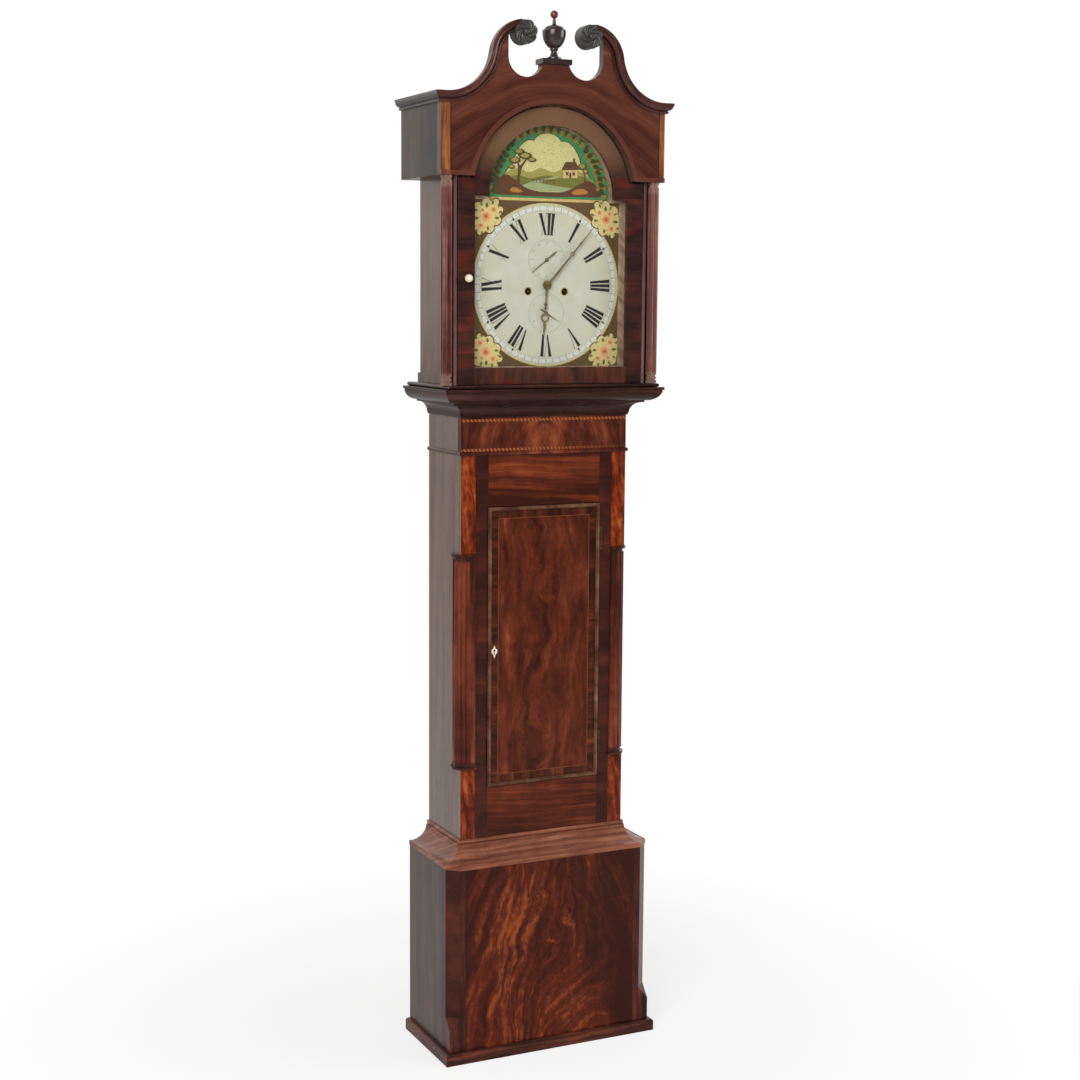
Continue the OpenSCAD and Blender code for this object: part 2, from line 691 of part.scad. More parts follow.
module swan_neck_mouldings() color("#4a1d14") both() difference() {
  reach = cornice_out + cut;
  union() {
    for (s = moulding_steps) sheet(frieze_d, frieze_d + reach * s[1])
      polygon(concat([[frieze_w / 2 + cornice_out * s[1], cornice_z1]], swan_line(0),
        turned_back(swan_line(swan_w * s[0])),
        [[frieze_w / 2 + cornice_out * s[1], cornice_z1 - swan_w * s[0]]]));
    sheet(frieze_d - pediment_t, frieze_d + cut)
      polygon(concat(swan_line(0), turned_back(swan_line(swan_lip))));
  }
  sheet(0, 2 * frieze_d) translate(swan_end) circle(rosette_r + run);
}

// Turned discs with a raised rim, a hollow and a boss
module rosettes() color("#2b2422") both()
  translate([swan_end[0], yd(frieze_d - pediment_t), swan_end[1]]) rotate([90, 0, 0]) rotate_extrude()
    polygon(concat([[0, 0], [rosette_r, 0], [rosette_r, 26]], arc(rosette_r - 3, 28, 3, 3, 0, 180, 8),
      arc(14, 29, 5, 5, 0, -180, 8), arc(0, 25, 9, 8, 0, 90, 6)));

finial_d = frieze_d - 12;
cap_z = neck_top;
cap_h = 11;

module finial() color("#3a1f22") {
  cap_w = 34.5;
  u = finial_h / 101;
  box(-cap_w, cap_w, finial_d - 18, finial_d + 18, cap_z, cap_z + cap_h);
  box(-notch_x + notch_r, notch_x - notch_r, finial_d - 18, frieze_d - pediment_t,
    cap_z - 45, cap_z);
  turned_z(0, finial_d, cap_z + cap_h) polygon(concat([[0, 0], [15.5, 0], [15.5, 3]],
    arc(15.5, 17, 9, 13, 270, 180, 6), [[7, 18 * u], [9, 20 * u]],
    arc(0, 55 * u, urn_r, 34 * u, -70, 0, 8), [[urn_r, 59 * u], [urn_r - 1.5, 61 * u]],
    arc(6, 61 * u, 15, 9 * u, 0, 80, 5), [[4, 73 * u], [3, 84 * u]],
    arc(0, 92.5 * u, 8.5, 8.5 * u, -70, 90, 9)));
}

// A thin frame behind the hood door that hides the dial's edge
module dial_mask() color("#8f8462") {
  front = side_front - 1.5;
  lap = 5;
  sheet(dial_front + 1, front) difference() {
    intersection() {
      union() {
        translate([-hood_in, sill_z]) square([2 * hood_in, hood_h]);
        arch_shape(hood_in);
      }
      translate([-hood_in, sill_z]) square([2 * hood_in, roof_z - sill_z]);
    }
    translate([-dial_w / 2 + lap, dial_cz - dial_w / 2 + lap])
      square([dial_w - 2 * lap, dial_w - lap]);
    intersection() {
      arch_shape(glass_arch_r);
      translate([-dial_w, dial_cz + dial_w / 2 - 2 * lap]) square(2 * dial_w);
    }
  }
}

// Hood door

hood_pin_x = hood_w / 2 - 4.5;
hood_pin_d = hood_door_d - 2;
hood_pin_r = 2;
hood_door_half = hood_w / 2;
hood_door_z0 = sill_z + 1;
hood_door_z1 = frieze_z - 3.5;

module hood_pin_hole()
  rod_z(hood_pin_x, hood_pin_d, sill_z - 5.5, frieze_z + 5.5, hood_pin_r + 0.1);

// The glazed opening, made wider all round by a margin
module glazed(margin) {
  half = hood_door_half - hood_stile_w;
  translate([-half - margin, sill_z + 1 + hood_rail_h - margin])
    square([2 * (half + margin), arch_cz - 4 - sill_z - 1 - hood_rail_h + 2 * margin]);
  intersection() {
    arch_shape(glass_arch_r + margin);
    translate([-half, arch_cz - 10]) square(2 * half);
  }
}

module hood_door_outline() {
  translate([-hood_door_half, hood_door_z0]) square([2 * hood_door_half, hood_door_z1 - hood_door_z0]);
  intersection() {
    arch_shape(hood_door_r);
    translate([-hood_door_r, arch_cz]) square(2 * hood_door_r);
  }
}

strap_t = 1.5;
strap_w = 26;

module hood_straps(grow) {
  for (z = [hood_door_z0, hood_door_z1 - strap_t])
    box(hood_door_half - strap_w, hood_door_half - 0.5, hood_door_d - 13, hood_door_d - 0.5,
      z - grow, z + strap_t + grow);
}

// The heel behind the pins is eased so that it turns clear of the hood's side
module hood_door_frame() color("#3c1c16") difference() {
  rebate = 6;
  heel = hood_pin_d - side_front;
  reach = hood_door_half - hood_pin_x;
  relief = heel - sqrt(heel * heel - reach * reach) + 0.1;
  union() {
    sheet(glass_d + glass_t, hood_door_d) difference() {
      hood_door_outline();
      glazed(0);
    }
    sheet(side_front, glass_d + glass_t + 0.01) difference() {
      hood_door_outline();
      glazed(rebate);
    }
  }
  hood_straps(0);
  box(hood_pin_x, hood_w, side_front - cut, side_front + relief, hood_door_z0 - cut, hood_door_z1 + cut);
}

glass_d = side_front + 6.5;

module hood_door_glass() color("#dfe8e4", 0.35) sheet(glass_d, glass_d + glass_t) glazed(5);

module hood_door_knob() color("#e8dcc2")
  translate([-hood_door_half + hood_stile_w / 2 + 1, yd(hood_door_d), dial_cz + 12]) rotate([90, 0, 0])
    rotate_extrude() polygon(concat([[0, 0], [4, 0], [3, 3]],
      arc(0, 3 + knob_r, knob_r, knob_r, -60, 90, 10)));

module hood_door_hinges() color("#b08d45") {
  hood_straps(0);
  rod_z(hood_pin_x, hood_pin_d, sill_z - 5, hood_door_z0, hood_pin_r);
  rod_z(hood_pin_x, hood_pin_d, hood_door_z1, frieze_z + 5, hood_pin_r);
}

// Dial

module dial_shape() {
  translate([-dial_w / 2, dial_cz - dial_w / 2]) square([dial_w, dial_w]);
  intersection() {
    translate([0, arch_cz]) circle(dial_arch_r, $fn = 128);
    translate([-dial_w / 2, dial_cz]) square(dial_w);
  }
}

dial_feet = [[-80, -48], [80, -48], [-80, 98], [80, 98]];
date_hub_r = 2.4;

module dial_plate() color("#dcdcc8") {
  sheet(dial_back, dial_front) difference() {
    dial_shape();
    translate([0, dial_cz]) circle(8);
    for (x = [-wind_x, wind_x]) translate([x, dial_cz - wind_z]) circle(7.5);
    translate([0, dial_cz + seconds_z]) circle(2.5);
    translate([0, dial_cz - date_z]) circle(date_hub_r + run);
  }
  for (p = dial_feet) rod_y(p[0], dial_cz + p[1], plate_front, dial_back, 3);
}

// Movement: the arbors' places round the dial's centre, and the trains' teeth

great_t = 96;
centre_p = 8;
centre_t = 60;
third_p = 8;
third_t = 56;
escape_p = 7;
escape_t = 30;
escape_r = 20;
strike_great_t = 84;
pin_p = 8;
pin_t = 64;
pallet_p = 8;
pallet_t = 56;
warning_p = 7;
warning_t = 49;
fly_p = 7;
cannon_t = 30;
motion_t = 60;
motion_p = 10;
hour_t = 60;

wind_r = norm([wind_x, wind_z]);
great_m = 2 * wind_r / (great_t + centre_p);
centre_m = 1;
third_m = 1;
link1 = centre_m * (centre_t + third_p) / 2;
link2 = third_m * (third_t + escape_p) / 2;
third_y = (pow(seconds_z, 2) + pow(link1, 2) - pow(link2, 2)) / (2 * seconds_z);
third_pos = [sqrt(pow(link1, 2) - pow(third_y, 2)), third_y];
escape_pos = [0, seconds_z];
swing_pos = [0, swing_z - dial_cz];
going_pos = [wind_x, -wind_z];
strike_pos = [-wind_x, -wind_z];
strike_m = 0.88;
pin_m = 0.85;
pallet_m = 0.8;
warning_m = 0.75;
pin_a = 82;
pallet_a = 75;
warning_a = 143;
fly_a = 55;
pin_pos = strike_pos + strike_m * (strike_great_t + pin_p) / 2 * [cos(pin_a), sin(pin_a)];
pallet_pos = pin_pos + pin_m * (pin_t + pallet_p) / 2 * [cos(pallet_a), sin(pallet_a)];
warning_pos = pallet_pos + pallet_m * (pallet_t + warning_p) / 2 * [cos(warning_a), sin(warning_a)];
fly_pos = warning_pos + warning_m * (warning_t + fly_p) / 2 * [cos(fly_a), sin(fly_a)];
hammer_pos = [-72, 66];
motion_link = 28;
motion_m = 2 * motion_link / (cannon_t + motion_t);
motion_post_r = 1.5;
hour_m = 2 * motion_link / (motion_p + hour_t);
motion_pos = [0, -motion_link];

pillar_x = 78;
pillar_r = 5;
screw_r = 2.5;
pillars = [[-pillar_x, -50], [pillar_x, -50], [-pillar_x, 95], [pillar_x, 95], [0, -52]];
line_t = 27;
line_d = td(line_t);
line_turn_r = pulley_r + gut_r;
going_line_x = wind_x - barrel_r - gut_r;
strike_line_x = -wind_x - barrel_r - gut_r;
bell_z = dial_cz + 130;
bell_r = 52;
bell_h = 32;
bell_d = td(31.5);

// Teeth with straight flanks: radii at root and tip, and the share of the pitch that a tooth takes there
function teeth(n, r0, r1, s0, s1, turn) = [for (i = [0:n - 1])
  for (p = [[r0, -s0], [r1, -s1], [r1, s1], [r0, s0]])
    let (a = turn + (i + p[1] / 2) * 360 / n) [p[0] * cos(a), p[0] * sin(a)]];
// Angle of a wheel that shows a tooth space, or of a pinion that shows a leaf, towards its neighbour
function facing(a, b) = atan2(b[1] - a[1], b[0] - a[0]);

module wheel_2d(n, m, turn, hub = 5, arms = 4) difference() {
  r = n * m / 2;
  rim = r - 1.15 * m - max(2.2, r * 0.08);
  polygon(teeth(n, r - 1.15 * m, r + 0.8 * m, 0.5, 0.14, turn + 180 / n));
  difference() {
    circle(rim);
    circle(hub);
    for (i = [0:arms - 1]) rotate(i * 360 / arms + 20) translate([0, -1.5]) square([r, 3]);
  }
}

module pinion_2d(n, m, turn) {
  r = n * m / 2;
  polygon(teeth(n, r - 1.1 * m, r + 0.4 * m, 0.46, 0.18, turn));
}

// A wheel or pinion in the layer between two distances behind the front plate
module layer(pos, t0, t1) sheet(td(t1), td(t0)) translate([pos[0], dial_cz + pos[1]]) children();
module arbor(pos, t0, t1, r) rod_y(pos[0], dial_cz + pos[1], td(t1), td(t0), r);
module pivoted(pos, r = 2) {
  shake = 0.4;
  arbor(pos, shake, plate_gap - shake, r);
  arbor(pos, -plate_t, plate_gap + plate_t, pivot_r);
}

train = [third_pos, escape_pos, pin_pos, pallet_pos, warning_pos, fly_pos, hammer_pos];
cock_d0 = plate_back - 14;
cock_d1 = plate_back - 8;
cock_arm_z = swing_z + 10;

module movement_plates() color("#b39a55") {
  for (front = [true, false]) {
    d0 = front ? plate_in : plate_back;
    difference() {
      box(-plate_w / 2, plate_w / 2, d0, d0 + plate_t, dial_cz - plate_lo, dial_cz + plate_hi);
      for (p = train) rod_y(p[0], dial_cz + p[1], d0 - cut, d0 + plate_t + cut, pivot_r + run);
      for (p = [going_pos, strike_pos])
        rod_y(p[0], dial_cz + p[1], d0 - cut, d0 + plate_t + cut, 3 + run);
      rod_y(0, dial_cz, d0 - cut, d0 + plate_t + cut, (front ? 3 : pivot_r) + run);
      rod_y(0, swing_z, d0 - cut, d0 + plate_t + cut, front ? pivot_r + run : 5);
    }
  }
  difference() {
    union() {
      both() box(20, 28, cock_d0, plate_back, swing_z - 5, swing_z + 18);
      box(-28, 28, cock_d0, cock_d1, swing_z - 5, swing_z + 18);
      box(-9, 9, back_plane - 6, cock_d1, cock_arm_z, cock_arm_z + 6);
    }
    rod_y(0, swing_z, cock_d0 - cut, cock_d1 + cut, pivot_r + run);
    box(-6, 6, back_plane - 0.6, back_plane + 0.6, cock_arm_z - cut, cock_arm_z + 7);
  }
  rod_y(motion_pos[0], dial_cz + motion_pos[1], plate_front - cut, plate_front + 9.5, motion_post_r);
}

module movement_pillars() color("#b39a55") {
  for (p = pillars) difference() {
    union() {
      arbor(p, 0, plate_gap, pillar_r - 1);
      for (t = [0, plate_gap / 2 - 3, plate_gap - 6]) arbor(p, t, t + 6, pillar_r);
    }
    rod_z(p[0], td(plate_gap / 2), dial_cz + p[1] - 2 * pillar_r, dial_cz + p[1] - pillar_r + 4, screw_r);
  }
  for (x = [-pillar_x, pillar_x]) union() {
    rod_z(x, td(plate_gap / 2), seat_z0 - 3, dial_cz - 50 - pillar_r + 4, screw_r);
    rod_z(x, td(plate_gap / 2), seat_z0 - 3, seat_z0, 6);
  }
}

// A cast bell held by a screw under an arm from the back plate
module bell() color("#c2b280") {
  wall = 2;
  arm_z = bell_z + bell_h + 6;
  arm_t = 3.5;
  post_x = 47;
  post_w = 12;
  crown = 7;
  turned_z(0, bell_d, bell_z) polygon(concat([[0, bell_h], [0, bell_h - wall], [crown, bell_h - wall]],
    arc(0, 4, bell_r - wall - 3, bell_h - wall - 4, 78, 0, 8), [[bell_r - wall, 0], [bell_r, 0]],
    arc(0, 4, bell_r - 3, bell_h - 4, 0, 78, 8), [[crown, bell_h]]));
  union() {
    box(post_x, post_x + post_w, plate_back - arm_t, plate_back, dial_cz + 80, arm_z + arm_t);
    box(-6, post_x + post_w, plate_back - arm_t, plate_back + 8, arm_z, arm_z + arm_t);
    box(-6, 6, plate_back, bell_d + 8, arm_z, arm_z + arm_t);
    rod_z(0, bell_d, bell_z + bell_h - 1, arm_z + 1, 5);
    rod_z(0, bell_d, bell_z + bell_h - wall - 4, bell_z + bell_h - 1, 5);
    rod_z(0, bell_d, bell_z + bell_h - 10, bell_z + bell_h - 1, 2.5);
  }
}

// A line: down from the barrel, half round the pulley, and up through the seat board to its knot
module gut_line(x) {
  turn_x = x + line_turn_r;
  rod_z(x, line_d, pulley_z, dial_cz - wind_z, gut_r, $fn = 16);
  rod_z(x + 2 * line_turn_r, line_d, pulley_z, seat_z1 + 1, gut_r, $fn = 16);
  translate([turn_x, yd(line_d), pulley_z]) rotate([-90, 0, 0]) rotate_extrude(angle = 180)
    translate([line_turn_r, 0]) circle(gut_r, $fn = 16);
  rod_z(x + 2 * line_turn_r, line_d, seat_z1, seat_z1 + 5, 3);
}

module going_line() color("#c9b48a") union() gut_line(going_line_x);
module strike_line() color("#c9b48a") union() gut_line(strike_line_x);

// A hand turned clockwise from upright about a height z: blade, tail, hub and a pierced ring on the blade
module hand(d, z, turn, l, tail, w, hub_r, bore, eye_at, eye_r, t = 1.4) difference() {
  eye = [eye_at * sin(turn), z + eye_at * cos(turn)];
  union() {
    sheet(d, d + t) translate([0, z]) rotate(-turn) polygon([[-w, 0], [-w * 0.8, -tail],
      [w * 0.8, -tail], [w, 0], [w * 0.55, l * 0.75], [0.3, l], [-0.3, l], [-w * 0.55, l * 0.75]]);
    rod_y(0, z, d, d + t, hub_r);
    if (eye_r > 0) rod_y(eye[0], eye[1], d, d + t, eye_r);
  }
  if (eye_r > 0) rod_y(eye[0], eye[1], d - cut, d + t + cut, eye_r * 0.5);
  rod_y(0, z, d - cut, d + t + 4, bore);
}

minute_a = 41;
hour_a = 184;
second_a = 225;
date_a = 122;
hour_pipe_r = 6.5;
cannon_r = 4.2;
hour_d = dial_front + 3.1;
minute_d = hour_d + 3.4;

module minute_hand() color("#8f7a3c") {
  hand(minute_d, dial_cz, minute_a, minute_l, 4, 2.7, 8, cannon_r, minute_l * 0.55, 4.8);
  difference() {
    rod_y(0, dial_cz, minute_d + 1.4, minute_d + 3.4, 6.2);
    rod_y(0, dial_cz, minute_d, minute_d + 4, cannon_r);
  }
}

// The centre arbor with its wheel and pinion, and the pipe in front that carries the minute hand
module centre_wheel() color("#c2a24c") union() {
  layer([0, 0], 53, 54.5) wheel_2d(centre_t, centre_m, facing([0, 0], third_pos), 6);
  layer([0, 0], 3, 9) pinion_2d(centre_p, great_m, facing([0, 0], going_pos));
  arbor([0, 0], 0.4, plate_gap - 0.4, 2.2);
  arbor([0, 0], 50, 57, 4);
  arbor([0, 0], plate_gap - 1, plate_gap + plate_t, pivot_r);
  rod_y(0, dial_cz, plate_in - 1, plate_front + 1, 3);
  rod_y(0, dial_cz, plate_front + 0.5, minute_d + 4.4, cannon_r);
  sheet(plate_front + 2, plate_front + 3.5) translate([0, dial_cz])
    wheel_2d(cannon_t, motion_m, -90, 7);
}

module hour_hand() color("#8f7a3c") {
  hand(hour_d, dial_cz, hour_a, hour_l, 5, 3.2, 10, hour_pipe_r + run / 2, hour_l * 0.6, 6.5);
  difference() {
    rod_y(0, dial_cz, hour_d + 1.4, hour_d + 2, 8.6);
    rod_y(0, dial_cz, hour_d, hour_d + 3, hour_pipe_r + run / 2);
  }
}

module hour_wheel() color("#c2a24c") difference() {
  union() {
    sheet(plate_front + 5.5, plate_front + 7) translate([0, dial_cz])
      wheel_2d(hour_t, hour_m, -90, 9);
    rod_y(0, dial_cz, plate_front + 5.5, hour_d + 1.4, hour_pipe_r);
  }
  rod_y(0, dial_cz, plate_front, hour_d + 2, cannon_r + 0.1);
}

module minute_wheel() color("#c2a24c") difference() {
  union() {
    sheet(plate_front + 2, plate_front + 3.5) translate([motion_pos[0], dial_cz + motion_pos[1]])
      wheel_2d(motion_t, motion_m, 90 + 180 / motion_t, 4);
    sheet(plate_front + 3, plate_front + 8.5) translate([motion_pos[0], dial_cz + motion_pos[1]])
      pinion_2d(motion_p, hour_m, 90);
  }
  rod_y(motion_pos[0], dial_cz + motion_pos[1], plate_front, dial_back, motion_post_r + run);
}

module seconds_hand() color("#8f7a3c")
  hand(dial_front + 1.5, dial_cz + seconds_z, second_a, 48, 22, 1.1, 3.2, 0.9, 0, 0, 0.8);

module escape_wheel() color("#c2a24c") union() {
  layer(escape_pos, 56, 57.5) difference() {
    polygon([for (i = [0:escape_t - 1]) for (p = [[0.82, 0], [1, 0.12], [1, 0.18], [0.82, 0.62]])
      let (a = (i + p[1]) * 360 / escape_t) escape_r * p[0] * [cos(a), sin(a)]]);
    difference() {
      circle(escape_r * 0.72);
      circle(4.5);
      for (i = [0:3]) rotate(i * 90) translate([0, -1]) square([escape_r, 2]);
    }
  }
  layer(escape_pos, 44, 50) pinion_2d(escape_p, third_m, facing(escape_pos, third_pos));
  pivoted(escape_pos);
  rod_y(escape_pos[0], dial_cz + escape_pos[1], plate_front - 1, dial_front + 2.7, 0.9);
}

module third_wheel() color("#c2a24c") union() {
  layer(third_pos, 46, 47.5) wheel_2d(third_t, third_m, facing(third_pos, escape_pos));
  layer(third_pos, 50, 56) pinion_2d(third_p, centre_m, facing(third_pos, [0, 0]));
  pivoted(third_pos);
}

barrel_arbor_r = 4;

module great_wheel(pos, n, m, turn) {
  layer(pos, 4, 7) difference() {
    wheel_2d(n, m, turn, 18);
    circle(barrel_arbor_r + run);
  }
  layer(pos, 6.9, 9.5) translate([barrel_r * 0.72, 0]) square([3, 6], center = true);
}

// Drum, ratchet and arbor with the winding square, which stays just behind the dial's face
module barrel(pos) union() {
  layer(pos, 7.3, 9.9) polygon([for (i = [0:19]) for (p = [[14, 0], [11.5, 0.9]])
    let (a = (i + p[1]) * 18) p[0] * [cos(a), sin(a)]]);
  arbor(pos, 9.8, 12, barrel_r + 2);
  arbor(pos, 11, 43, barrel_r);
  arbor(pos, 42, 44.2, barrel_r + 2);
  arbor(pos, 0.4, plate_gap - 0.4, barrel_arbor_r);
  arbor(pos, -plate_t, plate_gap + plate_t, 3);
  sheet(plate_front - 1, dial_front - 1) translate([pos[0], dial_cz + pos[1]])
    square(4, center = true);
}

module going_great_wheel() color("#c2a24c")
  great_wheel(going_pos, great_t, great_m, facing(going_pos, [0, 0]));
module going_barrel() color("#c9b060") barrel(going_pos);
module strike_great_wheel() color("#c2a24c")
  great_wheel(strike_pos, strike_great_t, strike_m, facing(strike_pos, pin_pos));
module strike_barrel() color("#c9b060") barrel(strike_pos);

module pin_wheel() color("#c2a24c") union() {
  layer(pin_pos, 49, 50.5) wheel_2d(pin_t, pin_m, facing(pin_pos, pallet_pos));
  layer(pin_pos, 3, 9) pinion_2d(pin_p, strike_m, facing(pin_pos, strike_pos));
  pivoted(pin_pos);
  for (i = [0:7]) arbor(pin_pos + 25 * [cos(i * 45 + 22), sin(i * 45 + 22)], 46, 49.5, 1);
}

module pallet_wheel() color("#c2a24c") union() {
  layer(pallet_pos, 30, 31.5) wheel_2d(pallet_t, pallet_m, facing(pallet_pos, warning_pos));
  layer(pallet_pos, 47, 53) pinion_2d(pallet_p, pin_m, facing(pallet_pos, pin_pos));
  pivoted(pallet_pos);
}

module warning_wheel() color("#c2a24c") union() {
  layer(warning_pos, 40, 41.5) wheel_2d(warning_t, warning_m, facing(warning_pos, fly_pos));
  layer(warning_pos, 28, 34) pinion_2d(warning_p, pallet_m, facing(warning_pos, pallet_pos));
  pivoted(warning_pos, 1.6);
}

module fly() color("#c2a24c") union() {
  layer(fly_pos, 38, 44) pinion_2d(fly_p, warning_m, facing(fly_pos, warning_pos));
  pivoted(fly_pos, 1.4);
  layer(fly_pos, 8, 27) rotate(30) square([27, 0.8], center = true);
}

// The hammer's arm stands clear of the bell at rest and is lifted away from it
module hammer() color("#8a8578") union() {
  pivoted(hammer_pos);
  layer(hammer_pos, 46, 48.5) {
    circle(4);
    polygon([[-2, 0], [2, 1], [16.6, -17.4], [14.8, -18.9]]);
  }
  layer(hammer_pos, 30, 33) {
    circle(4);
    polygon([[-2.5, 0], [2.5, 0], [13, 28], [10, 64], [6, 66], [8, 29]]);
  }
  layer(hammer_pos, 28, 35) polygon([[2, 62], [16, 62], [16, 72], [2, 72]]);
}

// Pallets over the escape wheel, and the crutch behind the back plate that grips the pendulum rod
module anchor_pallets() color("#8d8f92") union() {
  crutch_d = plate_back - 4;
  fork_z = swing_z - 91;
  layer(swing_pos, 55.5, 58) {
    circle(5);
    for (s = [-1, 1]) polygon([[0, 5], [s * 8, 3.5], [s * 20, -6.5], [s * 19.4, -12.6],
      [s * 15.7, -14.9], [s * 17, -9], [s * 7, -1.5], [0, -4.5]]);
  }
  arbor(swing_pos, 0.4, plate_in - cock_d1 - 0.4, 2);
  arbor(swing_pos, -plate_t, 3, pivot_r);
  arbor(swing_pos, plate_in - cock_d1 - 1, plate_in - cock_d0, pivot_r);
  rod_y(0, swing_z, crutch_d - 2, crutch_d + 2, 4);
  rod_z(0, crutch_d, fork_z - 1.5, swing_z, 1.5);
  box(-5.2, 5.2, crutch_d - 4, crutch_d, fork_z - 1.5, fork_z + 1.5);
  both() box(3.2, 5.2, back_plane - 5, crutch_d - 3, fork_z - 1.5, fork_z + 1.5);
}

rod_r = 2.5;
bob_z = swing_z - pendulum_l;

module pendulum() color("#c2a24c") {
  rim = 4;
  union() {
    box(-4, 4, back_plane - 0.2, back_plane + 0.2, swing_z - 14, cock_arm_z + 8);
    box(-5, 5, back_plane - 4, back_plane + 4, cock_arm_z + 6.7, cock_arm_z + 14);
    box(-5, 5, back_plane - 3, back_plane + 3, swing_z - 24, swing_z - 12);
    rod_z(0, back_plane, bob_z - bob_r - 22, swing_z - 23, rod_r);
    rod_z(0, back_plane, bob_z - bob_r - 14, bob_z - bob_r - 0.3, 8);
  }
  difference() {
    translate([0, yd(back_plane), bob_z]) rotate([90, 0, 0]) rotate_extrude()
      polygon([[0, -bob_t / 2], [bob_r * 0.5, -bob_t * 0.43], [bob_r * 0.85, -bob_t * 0.27],
        [bob_r, -rim], [bob_r, rim], [bob_r * 0.85, bob_t * 0.27], [bob_r * 0.5, bob_t * 0.43],
        [0, bob_t / 2]]);
    rod_z(0, back_plane, bob_z - 2 * bob_r, bob_z + 2 * bob_r, rod_r + 0.1);
  }
}

// An iron weight hung by its hook in the stirrup of a pulley
module weight(x) {
  top = pulley_z - pulley_r - 32;
  turned_z(x, line_d, top - weight_h) polygon(concat([[0, 0], [weight_r - 3, 0], [weight_r, 3]],
    arc(weight_r - 6, weight_h - 6, 6, 6, 0, 90, 6), [[6, weight_h + 2], [6, weight_h + 8], [0, weight_h + 8]]));
  rod_z(x, line_d, top + 8, pulley_z - pulley_r - 4, 2.2);
  difference() {
    rod_y(x, pulley_z, line_d - 3, line_d + 3, pulley_r + 1.2);
    translate([x, yd(line_d), pulley_z]) rotate([-90, 0, 0]) rotate_extrude()
      translate([line_turn_r, 0]) circle(gut_r + 0.3, $fn = 20);
    rod_y(x, pulley_z, line_d - 4, line_d + 4, 2.1);
  }
  union() {
    for (s = [-1, 1]) box(x - 3, x + 3, line_d + (s < 0 ? -5.5 : 4), line_d + (s < 0 ? -4 : 5.5),
      pulley_z - pulley_r - 4, pulley_z + 5);
    box(x - 3, x + 3, line_d - 5.5, line_d + 5.5, pulley_z - pulley_r - 5.5, pulley_z - pulley_r - 4);
    rod_y(x, pulley_z, line_d - 5, line_d + 5, 2);
  }
}

module going_weight() color("#4b4c4e") weight(going_line_x + line_turn_r);
module strike_weight() color("#4b4c4e") weight(strike_line_x + line_turn_r);

module date_hand() color("#8f7a3c") {
  difference() {
    union() {
      hand(dial_front + 1.5, dial_cz - date_z, date_a, 30, 17, 1.6, 4, 0.6, 0, 0, 0.8);
      rod_y(0, dial_cz - date_z, dial_front + 0.5, dial_front + 2.8, 3.4);
      rod_y(0, dial_cz - date_z, dial_back - 5, dial_front + 1, date_hub_r);
      sheet(dial_back - 5, dial_back - 3.8) translate([0, dial_cz - date_z])
        wheel_2d(62, 0.54, 0, 4);
    }
    rod_y(0, dial_cz - date_z, dial_back - 6, dial_front + 4, 0.6);
  }
}

backboard();
plinth_panels();
plinth_corner_posts();
plinth_skirting();
plinth_floor();
plinth_top_moulding();
trunk_sides();
trunk_front_frame();
trunk_corner_blocks();
trunk_corner_columns();
trunk_frieze();
hood_support_moulding();
seat_board();
trunk_hinge_leaves();
trunk_door_panel();
trunk_door_moulding();
trunk_door_hinges();
trunk_door_lock();
hood_sides();
hood_base_frame();
hood_columns();
hood_pediment();
hood_roof();
hood_cornice();
swan_neck_mouldings();
rosettes();
finial();
dial_mask();
hood_door_frame();
hood_door_glass();
hood_door_knob();
hood_door_hinges();
dial_plate();
movement_plates();
movement_pillars();
bell();
going_line();
strike_line();
minute_hand();
centre_wheel();
hour_hand();
hour_wheel();
minute_wheel();
seconds_hand();
escape_wheel();
third_wheel();
going_great_wheel();
going_barrel();
anchor_pallets();
pendulum();
going_weight();
strike_weight();
date_hand();
strike_great_wheel();
strike_barrel();
pin_wheel();
pallet_wheel();
warning_wheel();
fly();
hammer();
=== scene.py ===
import json
from math import atan2, cos, pi, radians, sin

import bmesh
import bpy
from mathutils import Matrix, Vector

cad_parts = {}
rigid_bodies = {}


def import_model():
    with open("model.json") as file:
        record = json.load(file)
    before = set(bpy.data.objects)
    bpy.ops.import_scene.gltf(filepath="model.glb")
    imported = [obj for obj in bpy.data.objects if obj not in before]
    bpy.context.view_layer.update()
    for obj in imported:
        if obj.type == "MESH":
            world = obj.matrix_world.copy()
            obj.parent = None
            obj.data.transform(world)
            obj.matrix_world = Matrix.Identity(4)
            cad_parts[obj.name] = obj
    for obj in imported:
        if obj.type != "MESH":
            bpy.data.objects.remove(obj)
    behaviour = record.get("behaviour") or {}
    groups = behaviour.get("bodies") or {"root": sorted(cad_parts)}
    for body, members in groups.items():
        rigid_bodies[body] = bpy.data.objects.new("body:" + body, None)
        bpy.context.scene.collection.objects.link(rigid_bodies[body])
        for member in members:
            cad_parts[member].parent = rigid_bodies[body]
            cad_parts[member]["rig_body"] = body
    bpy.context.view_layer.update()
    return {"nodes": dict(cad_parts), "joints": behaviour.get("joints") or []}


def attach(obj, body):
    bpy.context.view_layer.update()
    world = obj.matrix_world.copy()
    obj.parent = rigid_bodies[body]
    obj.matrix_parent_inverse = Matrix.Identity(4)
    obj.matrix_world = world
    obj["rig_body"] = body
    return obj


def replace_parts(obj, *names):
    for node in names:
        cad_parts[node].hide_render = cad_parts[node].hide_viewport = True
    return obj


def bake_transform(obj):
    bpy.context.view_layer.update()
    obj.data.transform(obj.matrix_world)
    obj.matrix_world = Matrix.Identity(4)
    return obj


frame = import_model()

# The camera stands well to the left of the clock, level with its dial, and looks slightly down, as in
# the photograph. Its lens is a long one, level to half a degree.
scene = bpy.context.scene
scene.view_settings.view_transform = "Standard"
camera_at = Vector((-1.7693, -3.7009, 1.6549))
